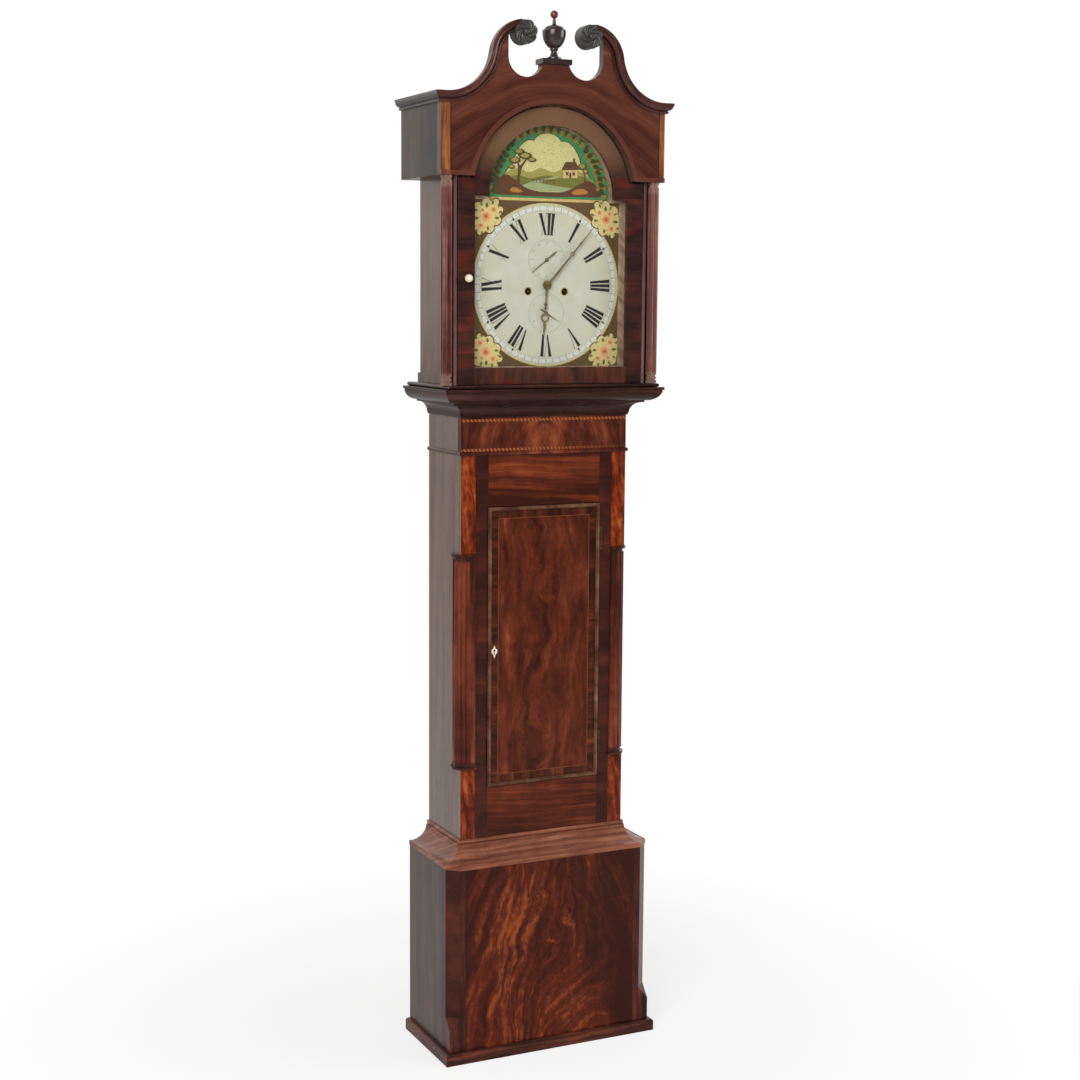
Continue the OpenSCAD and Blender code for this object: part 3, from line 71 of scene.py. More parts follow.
yaw, pitch, roll = radians(25.771), radians(-7.288), radians(0.436)
ahead = Vector((sin(yaw) * cos(pitch), cos(yaw) * cos(pitch), sin(pitch)))
level = Vector((cos(yaw), -sin(yaw), 0))
upright = level.cross(ahead)
right = level * cos(roll) + upright * sin(roll)
top = upright * cos(roll) - level * sin(roll)
lens = bpy.data.cameras.new("camera")
lens.lens, lens.sensor_width, lens.clip_end = 62.23, 36, 60
camera = bpy.data.objects.new("camera", lens)
scene.collection.objects.link(camera)
camera.matrix_world = Matrix.Translation(camera_at) @ Matrix((right, top, -ahead)).transposed().to_4x4()
scene.camera = camera


# A white studio. The wall and floor behind the clock show in its polish, the dark side of the room is
# behind the camera, and two soft lamps stand left and right of it.
def new_node(tree, kind, **settings):
    """A node of a shader tree, with its settings."""
    node = tree.nodes.new("ShaderNode" + kind)
    for name, value in settings.items():
        setattr(node, name, value)
    return node


def larger(tree, a, b):
    """The larger of two outputs of a tree."""
    step = new_node(tree, "Math", operation="MAXIMUM")
    tree.links.new(a, step.inputs[0])
    tree.links.new(b, step.inputs[1])
    return step.outputs[0]


def faded(tree, value, start, end, low, high):
    """Goes softly from low to high while an output of the tree goes from start to end."""
    step = new_node(tree, "MapRange", interpolation_type="SMOOTHSTEP")
    tree.links.new(value, step.inputs["Value"])
    for socket, number in zip(("From Min", "From Max", "To Min", "To Max"), (start, end, low, high)):
        step.inputs[socket].default_value = number
    return step.outputs["Result"]


world = bpy.data.worlds.new("studio")
scene.world = world
world.use_nodes = True
room = world.node_tree
room.nodes.clear()
ray = new_node(room, "LightPath").outputs
heading = new_node(room, "SeparateXYZ")
room.links.new(new_node(room, "TexCoord").outputs["Generated"], heading.inputs[0])
towards_wall = faded(room, heading.outputs["Y"], -0.75, 0.35, 0.10, 1.0)
wall = new_node(room, "Background")
wall.inputs["Color"].default_value = (1, 1, 1, 1)
room.links.new(larger(room, ray["Is Camera Ray"], towards_wall), wall.inputs["Strength"])
haze = new_node(room, "Background")
haze.inputs["Color"].default_value = (1, 1, 1, 1)
haze.inputs["Strength"].default_value = 0.42
mirrored_ray = larger(room, ray["Is Glossy Ray"], ray["Is Transmission Ray"])
either = new_node(room, "MixShader")
for number, source in enumerate((larger(room, ray["Is Camera Ray"], mirrored_ray), haze.outputs[0],
                                 wall.outputs[0])):
    room.links.new(source, either.inputs[number])
room.links.new(either.outputs[0], new_node(room, "OutputWorld").inputs["Surface"])

for lamp_name, place, aim, size, power in (
        ("lamp_left", Vector((-3.0, -3.3, 3.3)), Vector((0, 0, 1.15)), 2.4, 175),
        ("lamp_right", Vector((3.4, -1.9, 2.3)), Vector((0, 0, 1.3)), 1.8, 60)):
    lamp = bpy.data.lights.new(lamp_name, "AREA")
    lamp.size, lamp.energy = size, power
    stand = bpy.data.objects.new(lamp_name, lamp)
    stand.location = place
    stand.rotation_euler = (aim - place).to_track_quat("-Z", "Y").to_euler()
    scene.collection.objects.link(stand)

floor_half = 40
floor_mesh = bpy.data.meshes.new("studio_floor")
floor_mesh.from_pydata([(x * floor_half, y * floor_half, 0) for x, y in ((-1, -1), (1, -1), (1, 1), (-1, 1))],
                       [], [(0, 1, 2, 3)])
floor = bpy.data.objects.new("studio_floor", floor_mesh)
scene.collection.objects.link(floor)
pale = bpy.data.materials.new("studio_floor")
pale.use_nodes = True
cloth = pale.node_tree
matt = cloth.nodes["Principled BSDF"]
matt.inputs["Base Color"].default_value = (0.9, 0.9, 0.9, 1)
matt.inputs["Roughness"].default_value = 0.9
matt.inputs["Specular IOR Level"].default_value = 0.0
from_clock = new_node(cloth, "VectorMath", operation="LENGTH")
cloth.links.new(new_node(cloth, "TexCoord").outputs["Object"], from_clock.inputs[0])
share = new_node(cloth, "Math", operation="MULTIPLY")
cloth.links.new(new_node(cloth, "LightPath").outputs["Is Camera Ray"], share.inputs[0])
cloth.links.new(faded(cloth, from_clock.outputs["Value"], 0.35, 1.5, 0.72, 1.0), share.inputs[1])
whitened = new_node(cloth, "MixShader")
for number, source in enumerate((share, matt, new_node(cloth, "Emission"))):
    cloth.links.new(source.outputs[0], whitened.inputs[number])
cloth.links.new(whitened.outputs[0], cloth.nodes["Material Output"].inputs["Surface"])
floor_mesh.materials.append(pale)


# The plinth: a boarded box of mahogany, French polished. Its front is laid with a great flame of
# veneer with a feather at its foot, given a painted highlight up the middle and painted shade to the
# right. Its sides are plain.
def shade(red, green, blue):
    """A colour as it is read off a screen, as the shader wants it."""
    return tuple((v / 255 / 12.92) if v < 10.3 else ((v / 255 + 0.055) / 1.055) ** 2.4
                 for v in (red, green, blue)) + (1.0,)


def worked(what, swapped=False):
    """An operator between two readings, as one step of their finish."""
    def step(self, other):
        first, second = (other, self) if swapped else (self, other)
        return self.finish.reckon(what, first, second)
    return step


class Reading:
    """A number that changes over a surface, so that a figure can be written as a sum."""

    def __init__(self, finish, out):
        self.finish, self.out = finish, out

    def __abs__(self):
        return self.finish.reckon("ABSOLUTE", self)

    __add__, __radd__ = worked("ADD"), worked("ADD", swapped=True)
    __sub__, __rsub__ = worked("SUBTRACT"), worked("SUBTRACT", swapped=True)
    __mul__, __rmul__ = worked("MULTIPLY"), worked("MULTIPLY", swapped=True)
    __gt__, __lt__ = worked("GREATER_THAN"), worked("LESS_THAN")


class Finish:
    """One finish of the clock: its shader, and what is reckoned from the place on the piece."""

    def __init__(self, name, roughness=0.3, metal=0.0, **shader):
        self.material = bpy.data.materials.new(name)
        self.material.use_nodes = True
        self.tree = self.material.node_tree
        self.shader = self.tree.nodes["Principled BSDF"]
        for socket, value in {"Roughness": roughness, "Metallic": metal, **shader}.items():
            self.shader.inputs[socket.replace("_", " ")].default_value = value
        place = new_node(self.tree, "TexCoord")
        split = new_node(self.tree, "SeparateXYZ")
        self.tree.links.new(place.outputs["Object"], split.inputs[0])
        self.x, self.y, self.z = (Reading(self, out) for out in split.outputs)

    def feed(self, socket, value):
        if isinstance(value, Reading):
            self.tree.links.new(value.out, socket)
        else:
            socket.default_value = value

    def reckon(self, what, a, b=0.0):
        step = new_node(self.tree, "Math", operation=what)
        self.feed(step.inputs[0], a)
        self.feed(step.inputs[1], b)
        return Reading(self, step.outputs[0])

    def cloud(self, a, b, c, detail=2.0, rough=0.5):
        """Soft noise, about 0.5, with one patch to each unit of its three readings."""
        spot = new_node(self.tree, "CombineXYZ")
        for socket, value in zip(spot.inputs, (a, b, c)):
            self.feed(socket, value)
        noise = new_node(self.tree, "TexNoise")
        for socket, value in (("Scale", 1.0), ("Detail", detail), ("Roughness", rough)):
            noise.inputs[socket].default_value = value
        self.tree.links.new(spot.outputs[0], noise.inputs["Vector"])
        return Reading(self, noise.outputs[0])

    def rise(self, value, low, high):
        """Goes softly from 0 to 1 while the value goes from low to high."""
        return Reading(self, faded(self.tree, value.out, low, high, 0.0, 1.0))

    def near(self, value, centre, far, full=0.0):
        """1 about a centre, as far as the full distance, and down softly to 0 at the far one."""
        return self.rise(abs(value - centre), far, full)

    def tones(self, value, stops):
        ramp = new_node(self.tree, "ValToRGB")
        band = ramp.color_ramp
        while len(band.elements) < len(stops):
            band.elements.new(0.5)
        for element, (at, colour) in zip(band.elements, stops):
            element.position, element.color = at, colour
        self.feed(ramp.inputs[0], value)
        return Reading(self, ramp.outputs[0])

    def blend(self, amount, first, second):
        mix = new_node(self.tree, "Mix", data_type="RGBA")
        for number, value in ((0, amount), (6, first), (7, second)):
            self.feed(mix.inputs[number], value)
        return Reading(self, mix.outputs[2])

    def paint(self, colour):
        self.feed(self.shader.inputs["Base Color"], colour)
        return self

    def relief(self, height, depth, strength):
        bump = new_node(self.tree, "Bump")
        bump.inputs["Strength"].default_value = strength
        bump.inputs["Distance"].default_value = depth
        self.feed(bump.inputs["Height"], height)
        self.tree.links.new(bump.outputs[0], self.shader.inputs["Normal"])
        return self


def figure(work, across, run_a, run_b, tones, bold, slow, wander, spread=0.13, lift=0.0):
    """The figure of a veneer: broad streaks that wander, fine lines in them, and dark pores.

    Bold is how many streaks a metre has across the grain, and slow how often they change along it.
    """
    dark, mid, light, flare = (shade(*tone) for tone in tones)
    drift = work.cloud(run_a * 9, run_b * 9, across * 9, detail=3)
    warped = across + (drift - 0.5) * (2 * wander)
    broad = work.cloud(warped * bold, run_a * slow, run_b * slow, detail=3, rough=0.55)
    lines = work.cloud(warped * (bold * 6), run_a * (slow * 3), run_b * (slow * 3), detail=2)
    mottle = work.cloud(across * 24, run_a * 24, run_b * 24, detail=3, rough=0.6)
    value = broad + (lines - 0.5) * 0.22 + (mottle - 0.5) * 0.3 + lift
    colour = work.tones(value, [(0.5 - spread * 1.15, dark), (0.5 - spread * 0.15, mid),
                                (0.5 + spread * 0.75, light), (0.5 + spread * 1.7, flare)])
    pores = work.cloud(warped * 1500, run_a * 45, run_b * 45, detail=1)
    return work.blend(work.rise(pores, 0.60, 0.68) * 0.45, colour, dark)


def waxed(work, roughness):
    """The skin of the polish is a little uneven, and duller where it has been rubbed."""
    skin = work.cloud(work.x * 18, work.y * 18, work.z * 18, detail=3)
    work.feed(work.shader.inputs["Roughness"], roughness + (skin - 0.5) * 0.16)
    ripple = work.cloud(work.x * 60, work.y * 60, work.z * 22, detail=1)
    return work.relief(ripple, 0.0004, 0.25)


# Red-brown from the front, and pale like the room at a glancing angle.
red_polish = {"IOR": 1.5, "Specular_Tint": (0.55, 0.26, 0.2, 1.0)}


def straight(name, grain, tones, bold, slow, wander, roughness, spread=0.13, **shader):
    """Straight mahogany under its polish. The grain is what runs across it, and two that run along."""
    work = Finish(name, **(shader or red_polish))
    return waxed(work.paint(figure(work, *grain(work), tones, bold, slow, wander, spread)), roughness)


def soften(work, keen):
    """Shades a mesh smooth, but for edges that turn by more than so many degrees."""
    for face in work.faces:
        face.smooth = True
    for edge in work.edges:
        edge.smooth = edge.calc_face_angle(pi) < radians(keen)


def reach(node, axis):
    """The lowest and the highest place of a node along x, y or z, as the clock was drawn."""
    places = [corner.co["xyz".index(axis)] for corner in frame["nodes"][node].data.vertices]
    return min(places), max(places)


def made(name, mesh, material, body):
    """Hangs a finished mesh on the body that carries it."""
    piece = bpy.data.objects.new(name, mesh)
    scene.collection.objects.link(piece)
    if material is not None:
        mesh.materials.clear()
        mesh.materials.append(material)
    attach(piece, body)
    return piece


def eased(node, work, arris=0.0007, keen=28, flats=True):
    """The node as a joiner leaves it: flats in one piece, curves smooth, arrises just broken."""
    original = frame["nodes"][node]
    mesh = original.data.copy()
    mesh.name = node + "_finished"
    joined = bmesh.new()
    joined.from_mesh(mesh)
    bmesh.ops.remove_doubles(joined, verts=joined.verts, dist=1e-6)
    if flats:
        bmesh.ops.dissolve_limit(joined, angle_limit=radians(0.6), verts=joined.verts, edges=joined.edges)
    soften(joined, keen)
    joined.to_mesh(mesh)
    joined.free()
    piece = made(node + "_finished", mesh, work.material, original["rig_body"])
    if arris:
        bevel = piece.modifiers.new("broken arris", "BEVEL")
        bevel.width, bevel.segments = arris, 2
        bevel.limit_method, bevel.angle_limit = "ANGLE", radians(35)
        bevel.harden_normals = True
    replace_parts(piece, node)
    return piece


plinth_front, wall_y = reach("plinth_panels", "y")
plinth_half = reach("plinth_panels", "x")[1]
flame = Finish("plinth_flame_veneer", **red_polish)

# Its streaks fan down from a point above the plinth, and in the feather they lean over one way.
bend = (flame.cloud(flame.x * 6, flame.z * 6, 3.0, detail=3) - 0.5) * 0.09
off_centre = flame.x - 0.01 + bend
fan_turn = flame.reckon("ARCTAN2", off_centre, 0.80 - flame.z) * 0.62
sweep = flame.x * 0.52 - flame.z * 0.62 + 0.17
feather = flame.near(flame.x + bend, 0.045, 0.17, 0.05) * flame.rise(flame.z + bend, 0.27, 0.12)
fan_across = fan_turn + (sweep - fan_turn) * feather

# In its heart the streaks swirl round dark knots. The rest is curled and patchy, and over it lie
# painted highlights and painted shade.
heart = (flame.near(off_centre, -0.02, 0.15, 0.02) * flame.rise(flame.z, 0.44, 0.34)
         * flame.rise(flame.z, 0.14, 0.24))
swirl = (flame.cloud(flame.x * 13, flame.z * 13, 8.0, detail=3) - 0.5) * heart * 0.10
knots = flame.cloud(flame.x * 26, flame.z * 20, 5.0, detail=4, rough=0.7)
knots_dark = flame.rise(knots, 0.56, 0.68) * heart * 0.36
curled = (flame.cloud(flame.x * 85, flame.z * 55, 12.0, detail=4, rough=0.66) - 0.5) * 0.50
patches = (flame.cloud(flame.x * 9, flame.z * 5, 21.0) - 0.5) * 0.40
leaning_x = flame.x - flame.z * 0.12
# Painted highlights up the middle and at the left; painted shade to the right, at the far left and along the
# top.
fan_painted_highlight = flame.near(flame.x, 0.03, 0.18, 0.03) * flame.rise(flame.z, 0.24, 0.04) * 0.10
left_painted_highlight = flame.near(leaning_x, -0.12, 0.08, 0.02) * 0.10
right_painted_shade = flame.rise(leaning_x, 0.03, 0.17) * 0.20
left_painted_shade = flame.rise(flame.x, -0.17, -0.215) * 0.12
top_painted_shade = flame.rise(flame.z, 0.36, 0.43) * 0.05
flame_figure_and_painted_light = (patches + fan_painted_highlight + left_painted_highlight + curled
               - right_painted_shade - left_painted_shade - top_painted_shade - knots_dark)
flame_colour = figure(flame, fan_across + swirl, flame.z * 0.8, flame.x * 0.3,
                      ((42, 12, 7), (62, 21, 13), (88, 34, 18), (138, 66, 30)),
                      bold=46, slow=7, wander=0.014, spread=0.18, lift=flame_figure_and_painted_light)
on_side = (flame.rise(abs(flame.x), plinth_half - 0.0020, plinth_half - 0.0015)
           * flame.rise(flame.y, plinth_front - 0.001, plinth_front + 0.003))
side_colour = figure(flame, flame.y, flame.z, flame.x,
                     ((52, 38, 32), (62, 46, 39), (72, 53, 44), (80, 59, 48)), bold=60, slow=3, wander=0.006)
waxed(flame.paint(flame.blend(on_side, flame_colour, side_colour)), 0.22)
eased("plinth_panels", flame)

# The plinth's mouldings: canted corner posts, a skirting mitred round three sides, and above them the
# moulding that draws the square of the plinth in to the trunk. Each is solid mahogany, glued on.
dark_tones = ((38, 16, 13), (56, 26, 21), (76, 36, 28), (100, 50, 36))
eased("plinth_corner_posts", straight(
    "plinth_post_mahogany", lambda at: (at.x + at.y, at.z, at.y), dark_tones,
    bold=70, slow=4, wander=0.008, roughness=0.22))
eased("plinth_top_moulding", straight(
    "moulding_mahogany", lambda at: (at.z + at.y * 0.5, at.x, at.y),
    ((100, 57, 43), (122, 74, 56), (140, 89, 68), (154, 104, 81)),
    bold=110, slow=5, wander=0.006, roughness=0.26), 0.001)
eased("plinth_skirting", straight(
    "skirting_mahogany", lambda at: (at.z, at.x, at.y),
    ((44, 22, 19), (66, 34, 28), (92, 48, 36), (112, 60, 44)),
    bold=120, slow=6, wander=0.004, roughness=0.28), 0.0012)

# The boards that don't show: the plinth's floor, the tall backboard, the seat board that the movement
# stands on, and the roof of the hood. They are pine, sawn and left bare.
deal = Finish("old_pine", roughness=0.75)
deal.paint(figure(deal, deal.x + deal.y * 0.3, deal.z, deal.y,
                  ((112, 78, 48), (142, 104, 66), (160, 122, 80), (176, 138, 94)),
                  bold=70, slow=2, wander=0.01))
for board in ("plinth_floor", "backboard", "seat_board", "hood_roof"):
    eased(board, deal, 0.0005)

# The trunk: plain polished sides, and a face frame on their front edges. The frame's rails have
# straight streaked veneer, and its stiles are dark and laid across.
trunk_half, trunk_front = reach("trunk_sides", "x")[1], reach("trunk_front_frame", "y")[0]
door_half = reach("trunk_door_panel", "x")[1]
trunk_side = straight(
    "trunk_side_mahogany", lambda at: (at.y, at.z, at.x),
    ((94, 76, 63), (104, 84, 70), (112, 91, 76), (120, 98, 82)),
    bold=55, slow=2.5, wander=0.006, roughness=0.2, IOR=1.68)
eased("trunk_sides", trunk_side)

framing = Finish("trunk_frame_veneer", **red_polish)
stile_colour = figure(framing, framing.z, framing.x, framing.y,
                      ((38, 17, 13), (52, 24, 19), (68, 30, 23), (96, 42, 27)),
                      bold=22, slow=5, wander=0.012, spread=0.17)
top_rail_light = framing.near(framing.z, 1.286, 0.036) * framing.near(framing.x, 0.0, 0.14, 0.03)
top_rail_dark = framing.rise(framing.z, 1.262, 1.23) * framing.rise(framing.z, 1.20, 1.21)
low_rail_dark = framing.rise(framing.z, 0.9, 0.7)
rail_colour = figure(framing, framing.z + framing.x * 0.06, framing.x, framing.y,
                     ((50, 20, 13), (78, 32, 19), (106, 46, 25), (136, 66, 34)),
                     bold=75, slow=3.2, wander=0.010, spread=0.17,
                     lift=top_rail_light * 0.10 - top_rail_dark * 0.13 - low_rail_dark * 0.07)
on_rail = framing.near(framing.x, 0.0, door_half - 0.0004, door_half - 0.0014)
waxed(framing.paint(framing.blend(on_rail, stile_colour, rail_colour)), 0.22)
eased("trunk_front_frame", framing)

# The trunk's corners: orange veneered blocks above and below, and between them a column turned and
# reeded in the lathe, let in to the corner and pinned. Its ends, ring and neck, are painted dark:
# painted shade for the shadow in the neck.
block = Finish("corner_block_veneer", **red_polish)
block_mottle = (block.cloud(block.x * 80, block.z * 44, 2.0, detail=4, rough=0.66) - 0.5) * 0.72
waxed(block.paint(figure(block, block.x + block.z * 0.16, block.z * 0.6, block.y,
                         ((60, 20, 8), (100, 35, 14), (132, 56, 23), (166, 86, 40)),
                         bold=70, slow=14, wander=0.024, spread=0.17, lift=block_mottle)), 0.22)


def also(piece, work, where):
    """A second finish on the same piece, on the flats whose middle passes the test."""
    piece.data.materials.append(work.material)
    for flat in piece.data.polygons:
        if where(flat.center):
            flat.material_index = len(piece.data.materials) - 1


also(eased("trunk_corner_blocks", block), trunk_side, lambda middle: abs(middle.x) > trunk_half - 0.0001)

column_middle = sum(reach("trunk_corner_columns", "z")) / 2
reed = Finish("reeded_column_mahogany", **red_polish)
reed_colour = figure(reed, reed.x + reed.y, reed.z, reed.y,
                     ((54, 22, 15), (84, 38, 27), (112, 54, 36), (136, 70, 46)),
                     bold=90, slow=2.5, wander=0.004)
# Painted shade: both ends of each column are darkened where the ring shadows the neck.
reed_ends_painted_shade = reed.rise(abs(reed.z - column_middle), 0.2170, 0.2235)
waxed(reed.paint(reed.blend(reed_ends_painted_shade * 0.8, reed_colour, shade(44, 26, 22))), 0.22)
eased("trunk_corner_columns", reed, 0.0003, 50)

# The trunk's frieze: a board of veneer that fans out from its middle, lighter there than at its ends,
# between two thin lines of roped inlay, with a half-round bead below.
frieze_low, frieze_tall = reach("trunk_front_frame", "z")[1], 0.073
low_rope, high_rope = frieze_low + 0.0030, frieze_low + frieze_tall - 0.0068
rope_half, rope_twist = 0.0030, 700
band = Finish("frieze_veneer", **red_polish)
from_middle = abs(band.x)
fan = band.z * 0.34 + from_middle * 0.75 + from_middle * from_middle * 1.2
fan_lift = band.rise(from_middle, 0.13, 0.03) * 0.08 - band.rise(from_middle, 0.11, 0.17) * 0.10
frieze_colour = figure(band, fan, from_middle, band.z,
                       ((46, 19, 14), (76, 34, 23), (106, 50, 30), (136, 70, 40)),
                       bold=30, slow=12, wander=0.02, spread=0.17, lift=fan_lift)
roped = sum(band.near(band.z, rope_z, rope_half, rope_half - 0.0004) for rope_z in (low_rope, high_rope))
twist = band.reckon("SINE", (band.x + band.z * 0.6) * rope_twist)
rope_colour = band.blend(band.rise(twist, -0.1, 0.3), shade(100, 52, 30), shade(152, 90, 50))
on_front = band.rise(band.y, trunk_front + 0.0005, trunk_front + 0.0001)
waxed(band.paint(band.blend(roped * on_front, frieze_colour, rope_colour)), 0.24)
eased("trunk_frieze", band)

# The deep hollow moulding that carries the hood, fixed to the trunk, and the hood's own base frame,
# which slides on it. Both are dark solid mahogany.
throat = straight(
    "support_moulding_mahogany", lambda at: (at.z, at.x, at.y),
    ((30, 15, 13), (42, 23, 20), (54, 31, 27), (70, 42, 35)),
    bold=110, slow=5, wander=0.005, roughness=0.24)
eased("hood_support_moulding", throat, 0.001)
eased("hood_base_frame", throat, 0.001)


# The trunk door's hinges: cast brass, long left alone and brown. Their fixed leaves and pins stay on
# the trunk's stile, and the moving leaves are screwed to the door.
def brassy(name, colour, roughness):
    """Metal that has been handled: its tone drifts and its shine is uneven."""
    work = Finish(name, roughness, metal=1.0)
    tarnish = work.cloud(work.x * 140, work.y * 140, work.z * 140, detail=4, rough=0.6)
    deep = tuple(int(v * 0.62) for v in colour)
    work.paint(work.tones(tarnish, [(0.30, shade(*deep)), (0.62, shade(*colour))]))
    work.feed(work.shader.inputs["Roughness"], roughness + (tarnish - 0.5) * 0.28)
    return work


old_brass = brassy("hinge_brass", (90, 72, 50), 0.46)
eased("trunk_hinge_leaves", old_brass, 0)
eased("trunk_door_hinges", old_brass, 0)

# The trunk door: a slab laid with a quartered flame of veneer and cross-banded, with a fine light
# string line between them, and a small half-round moulding planted on its edge.
moulding_wide, banding_wide, string_wide = 0.008, 0.0165, 0.0016
string_at = moulding_wide + banding_wide
door_low, door_high = reach("trunk_door_panel", "z")
door = Finish("trunk_door_veneer", **red_polish)
from_side = door_half - abs(door.x)
from_end = (door_high - door_low) / 2 - abs(door.z - (door_low + door_high) / 2)
nearest = door.reckon("MINIMUM", from_side, from_end)
curl = (door.cloud(door.x * 11, door.z * 8, 4.0, detail=4, rough=0.6) - 0.5) * 0.085
sway = (door.cloud(door.z * 4, door.x * 2, 9.0, detail=1) - 0.5) * 0.10
up_middle = door.near(door.x, -0.012, 0.085, 0.01)


def glow(x, z, wide, tall, strength):
    """A lighter cloud in the flame of the door."""
    return door.near(door.x, x, wide) * door.near(door.z, z, tall) * strength


glows = sum(glow(*cloud) for cloud in (
    (0.05, 1.03, 0.06, 0.22, 0.10), (0.03, 0.70, 0.06, 0.07, 0.13), (0.035, 0.86, 0.06, 0.06, 0.12),
    (-0.085, 0.95, 0.035, 0.30, 0.06), (0.0, 1.16, 0.10, 0.05, 0.06)))
door_mottle = (door.cloud(door.x * 90, door.z * 60, 7.0, detail=4, rough=0.65) - 0.5) * 0.30
flame_door = figure(door, door.x + curl * up_middle * 1.5 + sway, door.z * 0.5, door.x * 0.5,
                    ((46, 17, 11), (74, 31, 19), (98, 44, 25), (134, 68, 37)),
                    bold=38, slow=18, wander=0.022, spread=0.20, lift=glows - up_middle * 0.06 + door_mottle)
banding = figure(door, door.z + (door.x - door.z) * (1 - (from_side < from_end)), door.x, door.z,
                 ((34, 14, 9), (54, 23, 15), (78, 36, 22), (112, 58, 34)),
                 bold=44, slow=4, wander=0.004, spread=0.16)
banded = door.rise(nearest, string_at, string_at - 0.0004)
strung = (nearest > string_at) * (nearest < string_at + string_wide)
door_colour = door.blend(strung * 0.65, door.blend(banded, flame_door, banding), shade(118, 64, 40))
slab_edge = figure(door, door.x, door.z * 0.6, door.y,
                   ((44, 22, 17), (60, 32, 25), (76, 42, 32), (92, 54, 40)), bold=30, slow=3, wander=0.014)
on_face = door.rise(door.y, trunk_front + 0.0008, trunk_front + 0.0004)
waxed(door.paint(door.blend(on_face, slab_edge, door_colour)), 0.2)
eased("trunk_door_panel", door, 0, flats=False)
eased("trunk_door_moulding", straight(
    "door_moulding_mahogany", lambda at: (at.x + at.z, at.x - at.z, at.y),
    ((70, 43, 33), (92, 62, 47), (112, 80, 61), (130, 97, 76)),
    bold=12, slow=12, wander=0.004, roughness=0.25, spread=0.2), 0.0009, flats=False)

# The trunk door's lock: a brass case let in to the back of the door, and on the face a thin plate of
# bone round the keyhole.
bone = Finish("bone", roughness=0.35)
fibre = bone.cloud(bone.x * 500, bone.y * 500, bone.z * 60, detail=3)
bone.paint(bone.tones(fibre, [(0.35, shade(216, 196, 168)), (0.6, shade(240, 226, 204))]))
also(eased("trunk_door_lock", bone, 0.0002), old_brass, lambda middle: middle.y > trunk_front + 0.0005)

# The movement behind the dial: two brass plates and their pillars, cut brass wheels on steel arbors,
# a cast bell, two iron weights in their pulleys, and the pendulum that hangs behind them.
plate_brass = brassy("plate_brass", (190, 156, 92), 0.34)
wheel_brass = brassy("wheel_brass", (204, 166, 92), 0.28)
steel = brassy("bright_steel", (150, 150, 148), 0.32)
cast_iron = brassy("cast_iron", (72, 68, 64), 0.55)
for part in ("movement_plates", "movement_pillars"):
    eased(part, plate_brass, 0.0002, 35)
for part in ("centre_wheel", "hour_wheel", "minute_wheel", "escape_wheel", "third_wheel",
             "going_great_wheel", "going_barrel", "strike_great_wheel", "strike_barrel", "pin_wheel",
             "pallet_wheel", "warning_wheel", "fly"):
    eased(part, wheel_brass, 0, 35)
for part in ("anchor_pallets", "hammer"):
    eased(part, steel, 0, 35)
for part in ("going_weight", "strike_weight"):
    eased(part, cast_iron, 0.0006, 40)
eased("bell", brassy("bell_metal", (172, 156, 120), 0.3), 0, 50)
eased("pendulum", brassy("pendulum_brass", (198, 160, 92), 0.3), 0, 40)

# Two lines of twisted gut. Each comes down from its barrel, goes round its weight's pulley and back up
# to a knot in the seat board.
gut = Finish("gut_line", roughness=0.5)
strand = gut.reckon("SINE", gut.z * 2600 + gut.cloud(gut.x * 400, gut.y * 400, gut.z * 30) * 8)
gut.paint(gut.tones(strand * 0.5 + 0.5, [(0.0, shade(150, 116, 70)), (1.0, shade(206, 176, 124))]))
for train, line_x in (("going", 0.0416), ("strike", -0.0455)):
    line = bpy.data.objects.new(train + "_line_hung", frame["nodes"][train + "_line"].data.copy())
    scene.collection.objects.link(line)
    line.data.materials.clear()
    line.data.materials.append(gut.material)
    for facet in line.data.polygons:
        facet.use_smooth = True
    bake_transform(line)
    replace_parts(line, train + "_line")

# The dial is a sheet of iron, painted cream and a little yellower towards its rim. All that is drawn
# on it lies in thin layers of paint, one on the next.
arbor_z = {joint["name"]: joint["pos_m"][2] for joint in frame["joints"] if "pos_m" in joint}
dial_z, seconds_z, date_z = (arbor_z[arbor] for arbor in ("centre_turn", "escape_turn", "date_turn"))
dial_face, layer = reach("dial_plate", "y")[0], 0.00006
cream = Finish("dial_cream", roughness=0.32)
age = cream.cloud(cream.x * 30, cream.z * 30, 0.0, detail=4, rough=0.6)
from_centre = cream.reckon("SQRT", cream.x * cream.x + (cream.z - dial_z) * (cream.z - dial_z))
ground = cream.tones(age, [(0.25, shade(196, 197, 176)), (0.7, shade(208, 209, 190))])
cream.paint(cream.blend(cream.rise(from_centre, 0.10, 0.172) * 0.5, ground, shade(206, 200, 164)))
eased("dial_plate", cream, 0)


def enamel(name, colour):
    """A painted colour, laid on by brush and a little uneven."""
    work = Finish(name, roughness=0.35)
    stroke = work.cloud(work.x * 420, work.y * 40, work.z * 420, detail=3, rough=0.6)
    low, high = (tuple(min(255, v * part) for v in colour) for part in (0.90, 1.10))
    return work.paint(work.tones(stroke, [(0.3, shade(*low)), (0.7, shade(*high))])).material


paints = {key: enamel("paint_" + key, colour) for key, colour in {
    "black": (34, 33, 30), "line": (150, 152, 136), "dot": (118, 122, 112), "gilt": (188, 158, 84),
    "band": (214, 216, 203), "edge": (204, 190, 138), "strip": (206, 178, 112), "olive": (98, 76, 42),
    "shield": (216, 199, 132), "rim": (150, 112, 54), "heart": (170, 92, 62), "rose": (226, 162, 108),
    "rose_deep": (208, 130, 82), "rose_pale": (234, 188, 132), "leaf": (104, 116, 56),
    "leaf_dark": (62, 78, 38), "emerald": (66, 140, 84), "vine": (92, 74, 38),
    "vine_light": (150, 126, 62), "sky": (206, 198, 134), "hill": (160, 152, 78), "field": (118, 116, 48),
    "water": (158, 168, 118), "earth": (98, 62, 40), "clay": (178, 122, 56), "thatch": (96, 68, 40),
    "wall": (206, 180, 120), "bark": (92, 66, 42)}.items()}


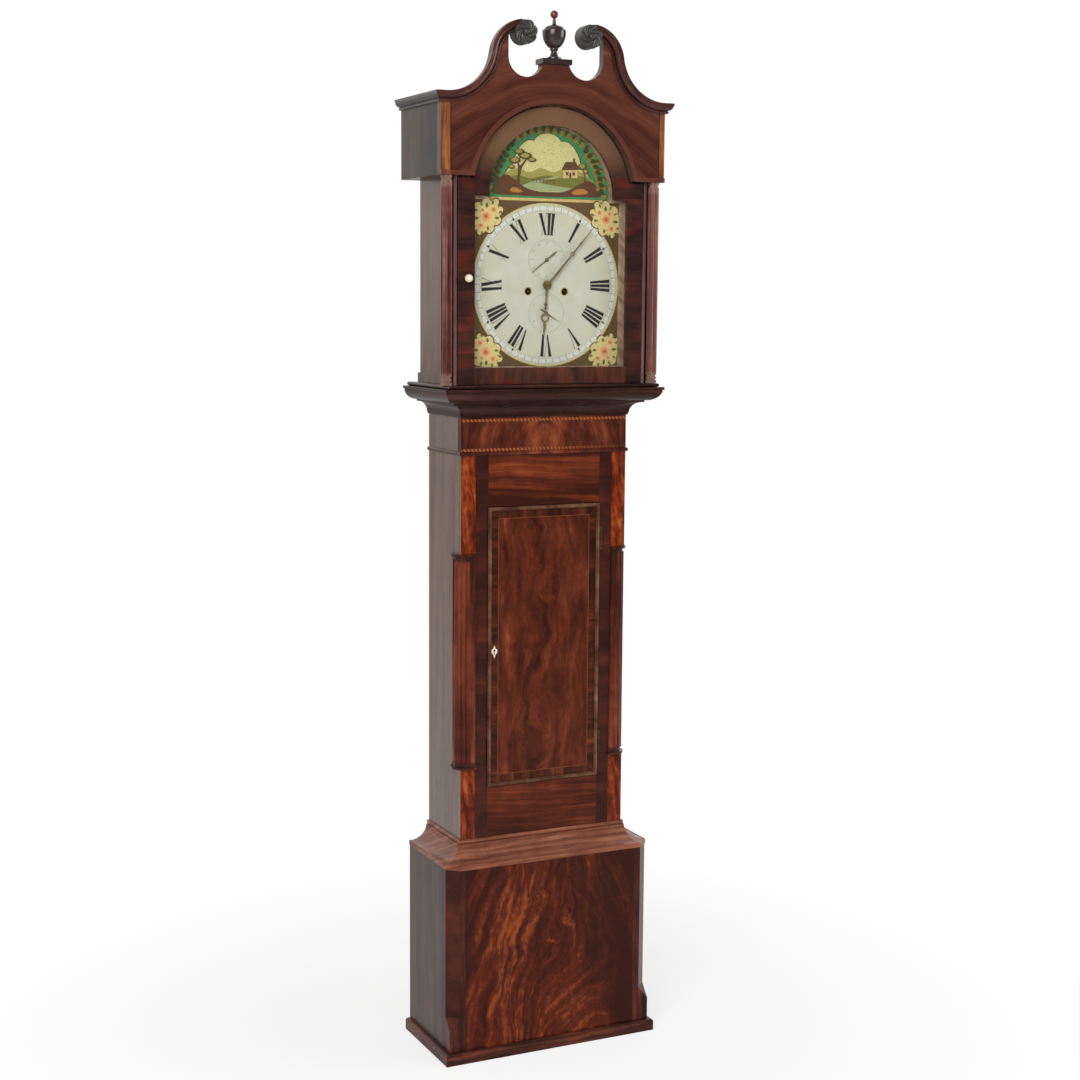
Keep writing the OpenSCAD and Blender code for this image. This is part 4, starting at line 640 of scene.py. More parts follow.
def clad(work, rows, endless=False):
    """Lays faces over rows of places, each row a closed line, and closes both ends unless endless."""
    lines = [[work.verts.new(place) for place in row] for row in rows]
    following = lines[1:] + (lines[:1] if endless else [])
    faces = [work.faces.new((first[k], first[k - 1], second[k - 1], second[k]))
             for first, second in zip(lines, following) for k in range(len(first))]
    if not endless:
        faces += [work.faces.new(lines[0]), work.faces.new(lines[-1][::-1])]
    return faces


def finished(name, work, keen=None):
    """The work as a mesh with its faces outward, smooth but for its keen edges."""
    bmesh.ops.recalc_face_normals(work, faces=work.faces)
    if keen:
        soften(work, keen)
    mesh = bpy.data.meshes.new(name)
    work.to_mesh(mesh)
    work.free()
    return mesh


class PaintedSheet:
    """Thin closed patches of paint, placed in millimetres from a centre on the dial."""

    def __init__(self, middle_z):
        self.middle_z, self.work, self.colours = middle_z, bmesh.new(), []

    def patch(self, outline, colour, coat=1):
        if colour not in self.colours:
            self.colours.append(colour)
        rows = [[(x / 1000, y, self.middle_z + z / 1000) for x, z in outline]
                for y in (dial_face + 0.00001, dial_face - layer * coat)]
        for face in clad(self.work, rows):
            face.material_index = self.colours.index(colour)

    def ring(self, x, z, inner, outer, colour, coat=1, steps=96, start=0.0, end=360.0):
        for k in range(steps):
            a, b = (radians(start + (end - start) * q / steps) for q in (k, k + 1))
            self.patch([(x + inner * sin(a), z + inner * cos(a)), (x + inner * sin(b), z + inner * cos(b)),
                        (x + outer * sin(b), z + outer * cos(b)), (x + outer * sin(a), z + outer * cos(a))],
                       colour, coat)

    def done(self, name):
        mesh = finished(name, self.work)
        made(name, mesh, None, "case")
        for colour in self.colours:
            mesh.materials.append(paints[colour])


# The hours are in black Roman numerals whose feet point to the centre. Outside them runs the minute
# band between two lines, and there are rings for the seconds, the date and the winding holes.
numeral_foot, numeral_tall, numeral_middle = 106, 47, 130
stem, hair, gap, serif_out, serif_tall = 6.2, 0.9, 2.2, 1.0, 0.02
v_wide, x_wide = 14.5, 16.0
letter_bars = {
    "I": [((0, stem), (0, stem))],
    "V": [((v_wide * 0.44, v_wide * 0.62), (0, stem)),
          ((v_wide * 0.54, v_wide * 0.60), (v_wide - 1, v_wide))],
    "X": [((x_wide - stem, x_wide), (0, stem)), ((0, hair), (x_wide - hair, x_wide))]}


def oblong(left, low, right, high):
    """The four corners of an oblong."""
    return [(left, low), (right, low), (right, high), (left, high)]


def numeral_strokes(numeral):
    """The bars and serifs of a numeral, in millimetres across and from 0 to 1 up, and its width."""
    strokes, at = [], 0.0
    for letter in numeral:
        bars = [[(at + left, at + far) for left, far in ends] for ends in letter_bars[letter]]
        strokes += [[(low[0], 0), (low[1], 0), (high[1], 1), (high[0], 1)] for low, high in bars]
        for low, high in bars:
            strokes.append(oblong(high[0] - serif_out, 1 - serif_tall, high[1] + serif_out, 1))
            if letter != "V":
                strokes.append(oblong(low[0] - serif_out, 0, low[1] + serif_out, serif_tall))
        at = max(high[1] for low, high in bars) + gap
    return strokes, at - gap


hours = PaintedSheet(dial_z)
for hour, numeral in enumerate(("XII", "I", "II", "III", "IIII", "V", "VI", "VII", "VIII", "IX", "X", "XI")):
    strokes, wide = numeral_strokes(numeral)
    for number, stroke in enumerate(strokes):
        outline = []
        for u, v in stroke:
            turn = radians(hour * 30) + (u - wide / 2) / numeral_middle
            out = numeral_foot + v * numeral_tall
            outline.append((out * sin(turn), out * cos(turn)))
        hours.patch(outline, "black", 1 + number * 0.05)
hours.ring(0, 0, 158.0, 167.4, "band", 0.6)
hours.ring(0, 0, 157.4, 158.0, "line")
hours.ring(0, 0, 167.4, 168.0, "line")
hours.ring(0, 0, 170.6, 174.0, "edge", 2)
hours.ring(0, (seconds_z - dial_z) * 1000, 43.2, 43.7, "line", 1, 64)
hours.ring(0, (date_z - dial_z) * 1000, 41.7, 42.2, "line", 1, 64)
for hole_x in (-43.5, 43.5):
    hours.ring(hole_x, -13.5, 7.6, 9.0, "gilt", 3, 40)
hours.done("dial_hours")


# The minutes, the seconds and the days of the month: one small mark for each, set out round its ring,
# a diamond at each hour between the quarters, and plain numbers inside the two small rings.
def set_out_tree():
    """Geometry nodes that set a mark out round a centre, each one turned with its place."""
    tree = bpy.data.node_groups.new("set_out", "GeometryNodeTree")
    socket = tree.interface.new_socket
    socket(name="Geometry", in_out="INPUT", socket_type="NodeSocketGeometry")
    for name, kind in (("Count", "Int"), ("Radius", "Float"), ("First angle", "Float"),
                       ("Angle step", "Float"), ("Turn", "Float"), ("Centre", "Vector"),
                       ("Material", "Material")):
        socket(name=name, in_out="INPUT", socket_type="NodeSocket" + kind)
    socket(name="Geometry", in_out="OUTPUT", socket_type="NodeSocketGeometry")
    new, join = tree.nodes.new, tree.links.new
    given, result = new("NodeGroupInput"), new("NodeGroupOutput")

    def reckoned(what, a, b=None):
        step = new("ShaderNodeMath")
        step.operation = what
        join(a, step.inputs[0])
        if b is not None:
            join(b, step.inputs[1])
        return step.outputs[0]

    index = new("GeometryNodeInputIndex").outputs[0]
    steps_on = reckoned("MULTIPLY", index, given.outputs["Angle step"])
    angle = reckoned("ADD", given.outputs["First angle"], steps_on)
    round_place = new("ShaderNodeCombineXYZ")
    for axis, wave in (("X", "SINE"), ("Z", "COSINE")):
        join(reckoned("MULTIPLY", reckoned(wave, angle), given.outputs["Radius"]), round_place.inputs[axis])
    place = new("ShaderNodeVectorMath")
    join(round_place.outputs[0], place.inputs[0])
    join(given.outputs["Centre"], place.inputs[1])
    points = new("GeometryNodePoints")
    join(given.outputs["Count"], points.inputs["Count"])
    join(place.outputs[0], points.inputs["Position"])
    turned_by = new("ShaderNodeCombineXYZ")
    join(reckoned("MULTIPLY", angle, given.outputs["Turn"]), turned_by.inputs["Y"])
    rotation = new("FunctionNodeEulerToRotation")
    join(turned_by.outputs[0], rotation.inputs[0])
    copies = new("GeometryNodeInstanceOnPoints")
    join(points.outputs[0], copies.inputs["Points"])
    join(given.outputs["Geometry"], copies.inputs["Instance"])
    join(rotation.outputs[0], copies.inputs["Rotation"])
    real, paint = new("GeometryNodeRealizeInstances"), new("GeometryNodeSetMaterial")
    join(copies.outputs[0], real.inputs[0])
    join(real.outputs[0], paint.inputs["Geometry"])
    join(given.outputs["Material"], paint.inputs["Material"])
    join(paint.outputs[0], result.inputs[0])
    return tree


set_out_nodes = set_out_tree()


def plain_mesh(holder):
    """The evaluated shape of an object as a plain mesh. The object is done with."""
    mesh = bpy.data.meshes.new_from_object(holder.evaluated_get(bpy.context.evaluated_depsgraph_get()))
    bpy.data.objects.remove(holder)
    return mesh


def set_out(name, mark, colour, count, centre, radius, step, first=0.0, turn=1.0):
    """Repeats a small mark round a centre on the dial, as one plain mesh."""
    piece = bpy.data.objects.new(name, mark)
    scene.collection.objects.link(piece)
    modifier = piece.modifiers.new("set out", "NODES")
    modifier.node_group = set_out_nodes
    sizes = {"Count": count, "Radius": radius, "First angle": first, "Angle step": step, "Turn": turn,
             "Centre": centre, "Material": paints[colour]}
    for item in set_out_nodes.interface.items_tree:
        if item.in_out == "INPUT" and item.name in sizes:
            modifier[item.identifier] = sizes[item.name]
    mesh = plain_mesh(piece)
    mesh.name = name
    made(name, mesh, None, "case")


def slip(name, outline, thickness):
    """A small mark cut to an outline in x and z, in millimetres, and as thick as its paint."""
    work = bmesh.new()
    clad(work, [[(x / 1000, y, z / 1000) for x, z in outline] for y in (0, -thickness)])
    return finished(name, work)


def small_figures(name, middle, radius, count, labels):
    """Plain numbers round a small ring, standing upright."""
    work = bmesh.new()
    for k, label in enumerate(labels):
        letters = bpy.data.curves.new(name, "FONT")
        letters.body, letters.size, letters.extrude = label, 0.0050, layer / 2
        letters.align_x, letters.align_y = "CENTER", "CENTER"
        holder = bpy.data.objects.new(name, letters)
        scene.collection.objects.link(holder)
        bpy.context.view_layer.update()
        mesh = plain_mesh(holder)
        angle = 2 * pi * (k + 1) / count
        mesh.transform(Matrix.Translation((radius * sin(angle), dial_face - layer / 2,
                                           middle + radius * cos(angle))) @ Matrix.Rotation(pi / 2, 4, "X"))
        work.from_mesh(mesh)
    mesh = bpy.data.meshes.new(name)
    work.to_mesh(mesh)
    work.free()
    made(name, mesh, paints["dot"], "case")


dial_centre = (0, dial_face, dial_z)
set_out("dial_minutes", slip("minute_dash", oblong(-0.6, -4.6, 0.6, 4.6), layer), "dot", 60, dial_centre,
        radius=0.1627, step=2 * pi / 60)
diamond = slip("hour_diamond", [(-2.7, 0), (0, -4.2), (2.7, 0), (0, 4.2)], layer * 2)
for first_hour in (1, 2):
    set_out("dial_diamonds_%d" % first_hour, diamond, "black", 4, dial_centre, radius=0.1588, step=pi / 2,
            first=first_hour * pi / 6)
tick = slip("small_tick", oblong(-0.25, -1.2, 0.25, 1.2), layer)
set_out("seconds_ticks", tick, "dot", 60, (0, dial_face, seconds_z), radius=0.0415, step=2 * pi / 60)
set_out("date_ticks", tick, "dot", 31, (0, dial_face, date_z), radius=0.0400, step=2 * pi / 31)
small_figures("seconds_figures", seconds_z, 0.0362, 12, [str(5 * k) for k in range(1, 13)])
small_figures("date_figures", date_z, 0.0345, 6, ["5", "10", "15", "20", "25", "31"])


# The dial's four corners are olive, with a gilt shield edged in small curls, and on it orange roses
# among their leaves. A gilt strip closes the square below the arch.
def curved(points, steps):
    """A smooth closed line through a few points, as a brush draws it."""
    line = []
    for k in range(len(points)):
        p = [points[(k + q) % len(points)] for q in (-1, 0, 1, 2)]
        for q in range(steps):
            t = q / steps
            line.append(tuple(0.5 * (2 * p[1][c] + (p[2][c] - p[0][c]) * t
                                     + (2 * p[0][c] - 5 * p[1][c] + 4 * p[2][c] - p[3][c]) * t * t
                                     + (3 * p[1][c] - p[0][c] - 3 * p[2][c] + p[3][c]) * t ** 3)
                              for c in (0, 1)))
    return line


square_half, ground_r, corner_middle = 177.6, 173.4, 139
corners = PaintedSheet(dial_z)


def square_edge(turn):
    """A place on the square edge of the dial, so many radians round from the top."""
    out = square_half / max(abs(sin(turn)), abs(cos(turn)))
    return out * sin(turn), out * cos(turn)


def corner_flowers(sx, sz):
    """The shield, its curls, four roses and their leaves, in one corner of the square."""
    def spot(u, v):
        """u runs out along the diagonal to the corner, v across it."""
        return sx * (corner_middle + (u - v) * 0.7071), sz * (corner_middle + (u + v) * 0.7071)

    def blob(u, v, long, wide, lobes, depth, colour, coat, turn=0.0):
        outline = []
        for q in range(48):
            a = 2 * pi * q / 48
            r = 1 - depth * (1 - abs(cos(lobes * a / 2 + turn)))
            outline.append(spot(u + long * r * cos(a), v + wide * r * sin(a)))
        corners.patch(outline, colour, coat)

    blob(6, 0, 38, 48, 9, 0.22, "bark", 2)
    blob(6, 0, 35.6, 45.2, 9, 0.24, "shield", 3)
    for q in range(9):
        a = 2 * pi * (q + 0.5) / 9
        x, z = spot(7 + 24.5 * cos(a), 33 * sin(a))
        turn_to = a * 57.3 * sx * sz + (0 if sx > 0 else 180)
        corners.ring(x, z, 4.6, 5.4, "rim", 3.3, 14, turn_to, turn_to + 235)
    for u, v, size in ((4, 0, 13), (3, 22, 7.5), (0, -23, 7.5), (20, 3, 5.0)):
        for shift, part, lobes, depth, colour, coat, turn in (
                (0, 1.0, 6, 0.16, "rose_pale", 4.0, 0.0), (0, 0.80, 5, 0.2, "rose", 4.6, 0.6),
                (0.08, 0.46, 5, 0.22, "rose_deep", 5.2, 0.2), (0.08, 0.20, 4, 0.1, "heart", 5.8, 0.0)):
            blob(u + size * shift, v, size * part, size * part, lobes, depth, colour, coat, turn)
    for u, v, long, lean in ((16, 13, 12, 0.8), (14, -15, 12, -0.8), (-11, 12, 10, 2.4),
                             (-12, -11, 10, -2.4), (12, 27, 10, 1.0), (10, -30, 10, -1.0),
                             (-10, 26, 9, 2.0), (-11, -28, 9, -2.1), (1, 33, 9, 1.57),
                             (-1, -34, 9, -1.57), (27, 8, 8, 0.5), (26, -6, 8, -0.5)):
        leaf = [(0, 0), (long * 0.45, long * 0.28), (long, 0), (long * 0.45, -long * 0.28)]
        for colour, part, coat in (("leaf_dark", 1.0, 3.6), ("leaf", 0.72, 4.2)):
            laid = [spot(u + (p * cos(lean) - q * sin(lean)) * part,
                         v + (p * sin(lean) + q * cos(lean)) * part) for p, q in leaf]
            corners.patch(curved(laid, 3), colour, coat)


for k in range(96):
    a, b = (2 * pi * q / 96 for q in (k, k + 1))
    corners.patch([(ground_r * sin(a), ground_r * cos(a)), (ground_r * sin(b), ground_r * cos(b)),
                   square_edge(b), square_edge(a)], "olive")
for sx in (-1, 1):
    for sz in (-1, 1):
        corner_flowers(sx, sz)
corners.patch(oblong(-square_half, 177.4, square_half, 183.2), "strip", 2)
corners.done("dial_corners")

# The arch is painted in its turn: an emerald ground, a scalloped panel with a plain country view of
# hills, water and a thatched cottage under trees, and a leafy border between them.
arch_z, panel_half, panel_tall = 1.8763, 108, 130
view = PaintedSheet(arch_z)
view.patch([(151 * cos(radians(a)), max(-3.8, 151 * sin(radians(a)))) for a in range(-2, 183, 4)], "emerald")
panel = []
for k in range(121):
    a = radians(2 + 176 * k / 120)
    scallop = 0.90 + 0.09 * abs(sin(4.5 * (a - pi / 2) + pi / 2)) ** 0.6
    panel.append((panel_half * scallop * cos(a) * (1 - 0.10 * sin(2 * a) ** 2),
                  4 + panel_tall * scallop * sin(a) ** 0.9))
view.patch([(x * 1.035, z * 1.02 - 1) for x, z in panel], "bark", 2)
view.patch(panel, "sky", 3)
for colour, coat, shape in (
        ("hill", 3.5, [(-98, 46), (-70, 58), (-42, 50), (-16, 60), (14, 52), (48, 63), (80, 54), (99, 44),
                       (96, 30), (-96, 30)]),
        ("field", 4.0, [(-104, 30), (-74, 43), (-40, 38), (0, 45), (40, 40), (72, 47), (104, 36), (106, 16),
                        (0, 12), (-106, 14)]),
        ("water", 4.5, [(22, 44), (30, 43), (12, 37), (-8, 33), (-16, 29), (14, 24), (52, 20), (60, 13),
                        (-52, 12), (-62, 20), (-44, 28), (-24, 34), (2, 39)]),
        ("earth", 5.0, [(-128, 4), (-118, 30), (-98, 44), (-76, 34), (-56, 20), (-30, 12), (6, 9), (44, 13),
                        (72, 26), (98, 36), (118, 26), (128, 4), (60, 1), (0, 0), (-60, 1)]),
        ("clay", 5.5, [(58, 9), (68, 17), (86, 19), (98, 13), (90, 8), (72, 6)]),
        ("clay", 5.5, [(-88, 10), (-80, 18), (-66, 14), (-58, 9), (-72, 7)])):
    view.patch(curved(shape, 4), colour, coat)
view.patch([(38, 40), (72, 42), (72, 60), (38, 59)], "wall", 5.0)
view.patch([(33, 57), (77, 59), (68, 76), (43, 75)], "thatch", 5.5)
view.patch(oblong(61, 72, 66, 83), "earth", 5.2)
for window_x in (44, 60):
    view.patch(oblong(window_x, 47, window_x + 6, 54), "bark", 5.6)
view.patch(oblong(52, 41, 57, 53), "bark", 5.6)
for post_x in range(-34, 15, 8):
    view.patch(oblong(post_x, 28, post_x + 1.4, 37), "bark", 5.7)
view.patch([(-36, 34), (18, 34.6), (18, 36), (-36, 35.4)], "bark", 5.8)
for trunk_line in ([(-74, 22), (-66, 22), (-64, 40), (-60, 58), (-50, 74), (-53, 76), (-64, 64), (-68, 72),
                    (-71, 70), (-69, 52), (-71, 38)],
                   [(88, 30), (92, 30), (91, 48), (88, 60), (86, 58), (88, 46)]):
    view.patch(curved(trunk_line, 3), "bark", 5.4)
for cx, cz, wide, tall in ((-76, 74, 17, 9), (-52, 84, 20, 10), (-66, 92, 16, 8), (-36, 76, 13, 6),
                           (-84, 60, 10, 6), (84, 66, 14, 9), (92, 56, 10, 7)):
    crown = []
    for k in range(36):
        a = 2 * pi * k / 36
        r = 1 - 0.28 * abs(sin(5.5 * a + cx))
        crown.append((wide * r * cos(a), tall * r * sin(a)))
    view.patch([(cx + x, cz + z) for x, z in crown], "vine", 6.0)
    view.patch([(cx - 1 + x * 0.6, cz + 1 + z * 0.6) for x, z in crown], "hill", 6.4)
for x, z in ((-8, 92), (2, 98), (12, 90)):
    view.patch([(x - 5, z + 2), (x, z), (x + 5, z + 2), (x, z + 0.9)], "bark", 4.0)
view.done("dial_arch_view")
vine_leaf = slip("vine_leaf", curved([(0, 0), (4.6, 4.0), (4.4, 10), (0, 15), (-4.4, 10), (-4.6, 4.0)], 3),
                 0.0003)
for number, (colour, radius, first, count, spread, lean) in enumerate((
        ("vine", 0.1325, -88, 24, 176, 1.25), ("vine_light", 0.1290, -85, 24, 176, 0.80),
        ("vine", 0.1200, -84, 7, 36, 1.9), ("vine_light", 0.1200, 48, 7, 36, 0.3),
        ("leaf_dark", 0.1270, -80, 8, 40, 0.4), ("leaf_dark", 0.1270, 42, 8, 40, 1.7))):
    set_out("arch_leaves_%d" % number, vine_leaf, colour, count,
            (0, dial_face - 0.0001 * number, arch_z + 0.003), radius=radius,
            step=radians(spread) / (count - 1), first=radians(first), turn=lean)

# The four hands are cut from brass sheet and gilded: a long slim minute hand with a small eye, an hour
# hand with a wide ring, and two small ones. Each fits on its own arbor in front of the dial.
gilt = brassy("gilt_hands", (152, 138, 94), 0.40)
gilt.shader.inputs["Metallic"].default_value = 0.5
eased("date_hand", gilt, 0.0002, 40)


def cut_hand(node, back, middle_z, turn, thick, bars, eyes):
    """A hand sawn from sheet, in millimetres along a line from its centre: tapered bars and round eyes."""
    work, lean = bmesh.new(), radians(turn)

    def place(u, v, depth):
        return ((u * cos(lean) + v * sin(lean)) / 1000, back - depth / 1000,
                middle_z + (v * cos(lean) - u * sin(lean)) / 1000)

    for bar in bars:
        outline = [(half, at) for at, half in bar] + [(-half, at) for at, half in reversed(bar)]
        clad(work, [[place(u, v, depth) for u, v in outline] for depth in (0, thick)])
    for at, inner, outer, deep in eyes:
        clad(work, [[place(r * sin(pi * k / 24), at + r * cos(pi * k / 24), depth) for k in range(48)]
                    for r, depth in ((inner, 0), (outer, 0), (outer, deep), (inner, deep))], endless=True)
    hand = made(node + "_cut", finished(node + "_cut", work), gilt.material,
                frame["nodes"][node]["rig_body"])
    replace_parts(hand, node)


cut_hand("minute_hand", -0.0650, dial_z, 41.3, 1.4,
         [[(5, 2.6), (60, 2.1), (85, 1.6)], [(92, 1.5), (112, 1.4), (118, 3.2), (125, 1.4), (161, 0.35)]],
         [(88.5, 2.0, 4.9, 1.5), (0, 4.24, 8.0, 1.6), (0, 4.30, 6.2, 3.4)])
cut_hand("hour_hand", -0.0616, dial_z, 184, 1.4,
         [[(7, 3.0), (30, 2.3), (62, 1.7)], [(78, 1.6), (87, 3.4), (96, 2.0), (108, 0.4)],
          [(49, 5.5), (50.5, 5.5)]],
         [(70, 6.4, 9.4, 1.5), (41, 1.2, 3.8, 1.5), (0, 6.56, 10.0, 2.0)])
cut_hand("seconds_hand", -0.0600, seconds_z, 232, 0.8,
         [[(3, 1.0), (44, 0.5)], [(-3, 1.4), (-12, 1.2), (-20, 2.6), (-25, 1.6), (-30, 0.5)]],
         [(0, 0.95, 4.4, 0.9)])

# The hood door: a frame with an arched head, its veneer laid across each member, round the arch too.
# The crown of the arch is blended paler. It holds one sheet of thin old glass.
rail_top, rail_half = 1.5143, 0.181
frame_wood = Finish("hood_door_veneer", **red_polish)
arch_angle = frame_wood.reckon("ARCTAN2", frame_wood.x, frame_wood.z - arch_z)
in_arch = frame_wood.rise(frame_wood.z, arch_z - 0.001, arch_z + 0.001)
crossing = frame_wood.z + (arch_angle * 0.165 + arch_z - frame_wood.z) * in_arch
crossed = figure(frame_wood, crossing, frame_wood.x, frame_wood.y,
                 ((36, 24, 21), (50, 31, 27), (66, 36, 29), (92, 44, 32)),
                 bold=34, slow=6, wander=0.008, spread=0.15)
low_rail = figure(frame_wood, frame_wood.x, frame_wood.z, frame_wood.y,
                  ((50, 31, 26), (66, 42, 34), (88, 48, 36), (112, 56, 40)),
                  bold=34, slow=6, wander=0.008, spread=0.15)
in_rail = (frame_wood.rise(frame_wood.z, rail_top, rail_top - 0.0005)
           * frame_wood.rise(abs(frame_wood.x), rail_half, rail_half - 0.001))
in_crown = frame_wood.rise(frame_wood.z, 1.90, 1.99)
plain_arch = frame_wood.blend(in_crown * 0.66, frame_wood.blend(in_rail, crossed, low_rail),
                              shade(124, 92, 70))
red_patch = frame_wood.rise(frame_wood.cloud(frame_wood.x * 9, frame_wood.z * 14, 6.0), 0.56, 0.66)
door_veneer = frame_wood.blend(red_patch * 0.5 * (1 - in_crown), plain_arch, shade(98, 34, 26))
waxed(frame_wood.paint(door_veneer), 0.22)
eased("hood_door_frame", frame_wood, 0.0007)

pane = Finish("old_glass", roughness=0.02, IOR=1.45, Alpha=0.06)
unevenness = pane.cloud(pane.x * 9, pane.y * 9, pane.z * 5, detail=1)
pane.paint(shade(40, 46, 40)).relief(unevenness, 0.0006, 0.15)
eased("hood_door_glass", pane, 0)


# The hood door's knob is turned in bone and screwed to its left stile. The door turns on a brass pin
# at its head and one at its foot.
def turned(name, outline, keen=40, steps=64):
    """Turned work: an outline of radius and depth from the back, spun about its own axis."""
    work = bmesh.new()
    clad(work, [[(r * sin(2 * pi * k / steps), -depth, r * cos(2 * pi * k / steps)) for k in range(steps)]
                for r, depth in outline])
    return finished(name, work, keen)


knob_r, knob_sunk = 0.0084, 0.0002
knob_at = (sum(reach("hood_door_knob", "x")) / 2, reach("hood_door_knob", "y")[1] - knob_sunk,
           sum(reach("hood_door_knob", "z")) / 2)
knob_outline = [(0.0042, 0.0), (0.0034, 0.0030)]
knob_outline += [(knob_r * cos(radians(a)), 0.0110 + knob_r * sin(radians(a))) for a in range(-56, 86, 10)]
knob = turned("hood_door_knob_turned", knob_outline)
knob.transform(Matrix.Translation(knob_at))
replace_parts(made("hood_door_knob_turned", knob, bone.material, "hood_door"),
            "hood_door_knob")
eased("hood_door_hinges", old_brass, 0)

# The hood's sides are boards, darker above where the cornice shades them. The bright stiles on their
# front edges face the room, and a fillet closes the corner behind each column.
shaft_low, frieze_z = reach("hood_columns", "z")
roof_z = reach("hood_sides", "z")[1]
hood_side = straight(
    "hood_side_mahogany", lambda at: (at.y, at.z, at.x),
    ((68, 43, 26), (78, 51, 32), (88, 59, 38), (98, 66, 45)),
    bold=55, slow=2.5, wander=0.006, roughness=0.22, IOR=1.52)
frieze_side = Finish("hood_frieze_side_mahogany", IOR=1.28)
shadowed = frieze_side.rise(frieze_side.y, 0.06, -0.09)
frieze_side_colour = figure(frieze_side, frieze_side.y, frieze_side.z, frieze_side.x,
                            ((50, 39, 25), (58, 46, 31), (68, 54, 38), (76, 61, 44)),
                            bold=55, slow=2.5, wander=0.006)
waxed(frieze_side.paint(frieze_side.blend(shadowed, frieze_side_colour, shade(32, 27, 22))), 0.3)
stile_wood = straight(
    "hood_stile_mahogany", lambda at: (at.x, at.z, at.y),
    ((60, 34, 30), (78, 47, 42), (96, 64, 58), (116, 84, 78)),
    bold=90, slow=3, wander=0.004, roughness=0.42, IOR=1.4)
boards = eased("hood_sides", hood_side, 0.0006)
also(boards, frieze_side, lambda middle: middle.z > frieze_z + 0.0002)
also(boards, stile_wood, lambda middle: middle.y < -0.0535 and middle.z < frieze_z - 0.0001
     and abs(middle.x) > 0.2192)

shaft_middle, shaft_tall = (shaft_low + frieze_z) / 2, frieze_z - shaft_low
fillet_x, fillet_y, fillet_wide, fillet_deep = 0.23675, -0.0650, 0.0155, 0.0140
fillet = bmesh.new()
for side in (-1, 1):
    bmesh.ops.create_cube(
        fillet, size=1.0, matrix=Matrix.Translation((side * fillet_x, fillet_y, shaft_middle))
        @ Matrix.Diagonal((fillet_wide, fillet_deep, shaft_tall, 1)))
back_wood = straight(
    "hood_back_fillet_mahogany", lambda at: (at.x, at.z, at.y), dark_tones,
    bold=90, slow=3, wander=0.004, roughness=0.3)
fillets = made("hood_back_fillets", finished("hood_back_fillets", fillet), back_wood.material, "hood")
softened = fillets.modifiers.new("broken arris", "BEVEL")
softened.width, softened.segments = 0.001, 2

# The hood's two columns are each a cluster of thin turned shafts on a shared base and capital, which
# have gone dull and pale. The right one is blended paler, a painted highlight from the lamp on that side.
shafts = Finish("hood_column_mahogany", **red_polish)
shaft_colour = figure(shafts, shafts.x + shafts.y, shafts.z, shafts.y,
                      ((58, 27, 24), (82, 44, 38), (112, 70, 62), (148, 110, 100)),
                      bold=90, slow=2.5, wander=0.004)
# Painted highlight: the right-hand column is blended paler than the left.
shaft_colour = shafts.blend(shafts.rise(shafts.x, -0.1, 0.1) * 0.26, shaft_colour, shade(148, 108, 98))
near_end = shafts.rise(abs(shafts.z - shaft_middle), 0.188, 0.200)
waxed(shafts.paint(shafts.blend(near_end * 0.7, shaft_colour, shade(128, 104, 88))), 0.22)
eased("hood_columns", shafts, 0.0003, 50)

# The pediment and frieze are one veneered board, cut to the arch of the door. Its figure spreads from
# above the arch, a bead runs round the arch, and a light strip with a dark line closes each end.
bead_front, board_front = -0.0984, -0.0972
front = Finish("pediment_veneer", **red_polish)
mirror = abs(front.x)
above_arch = front.reckon("SQRT", mirror * mirror + (front.z - 1.80) * (front.z - 1.80))
grand = figure(front, front.z * 0.42 + above_arch * 0.9, mirror * 0.5, front.z * 0.4,
               ((62, 31, 25), (82, 44, 34), (98, 56, 43), (116, 72, 54)),
               bold=24, slow=4, wander=0.03, spread=0.17)
plain_side = figure(front, front.y, front.z, front.x,
                    ((54, 42, 36), (66, 52, 44), (78, 62, 53), (86, 70, 60)), bold=60, slow=3, wander=0.006)
light_strip = figure(front, front.x, front.z, front.y,
                     ((92, 54, 34), (124, 76, 46), (148, 94, 56), (168, 112, 68)),
                     bold=60, slow=6, wander=0.01)
from_strip = abs(front.x - 0.0045)
below_roof = front.rise(front.z, roof_z, roof_z - 0.0006)
outer_strip = front.rise(from_strip, 0.2458, 0.2462) * below_roof
edge_line = front.rise(abs(from_strip - 0.2445), 0.0016, 0.0010) * below_roof
on_bead = front.rise(front.y, bead_front, bead_front - 0.0006)
front_colour = front.blend(outer_strip, grand, light_strip)
front_colour = front.blend(edge_line * 0.8, front_colour, shade(50, 24, 22))
front_colour = front.blend(on_bead * 0.75, front_colour, shade(92, 52, 42))
on_front = front.rise(front.y, board_front, board_front - 0.0005)
waxed(front.paint(front.blend(on_front, plain_side, front_colour)), 0.24)
eased("hood_pediment", front, 0.0007)

# The swan necks and the cornice are run to one section, a cap, a round and a bead. Each neck starts at
# its mitre with the cornice at the corner, swings up and over, and dies against its rosette.
swan_1, swan_2 = (0.255, 2.1833, 0.1025), (0.078, 2.15799, 0.0763)
rosette_at, rosette_r = (0.076, 2.20879), 0.0255
cornice_top, frieze_half, frieze_y = (reach("hood_cornice", "z")[1], reach("hood_pediment", "x")[1],
                                      reach("hood_cornice", "y")[0])
neck_section = [(0.0, 0.0), (0.0, 0.0145), (0.0006, 0.0150), (0.0052, 0.0150), (0.0058, 0.0144),
                (0.0058, 0.0134)]
neck_section += [(0.0058 + 0.0096 * sin(radians(a)), 0.0046 + 0.0088 * cos(radians(a)))
                 for a in range(0, 91, 10)]
neck_section += [(0.0164, 0.0046)]
neck_section += [(0.0190 - 0.0026 * cos(radians(a)), 0.0034 + 0.0026 * sin(radians(a)))
                 for a in range(0, 181, 20)]
neck_section += [(0.0220, 0.0030), (0.0220, 0.0)]


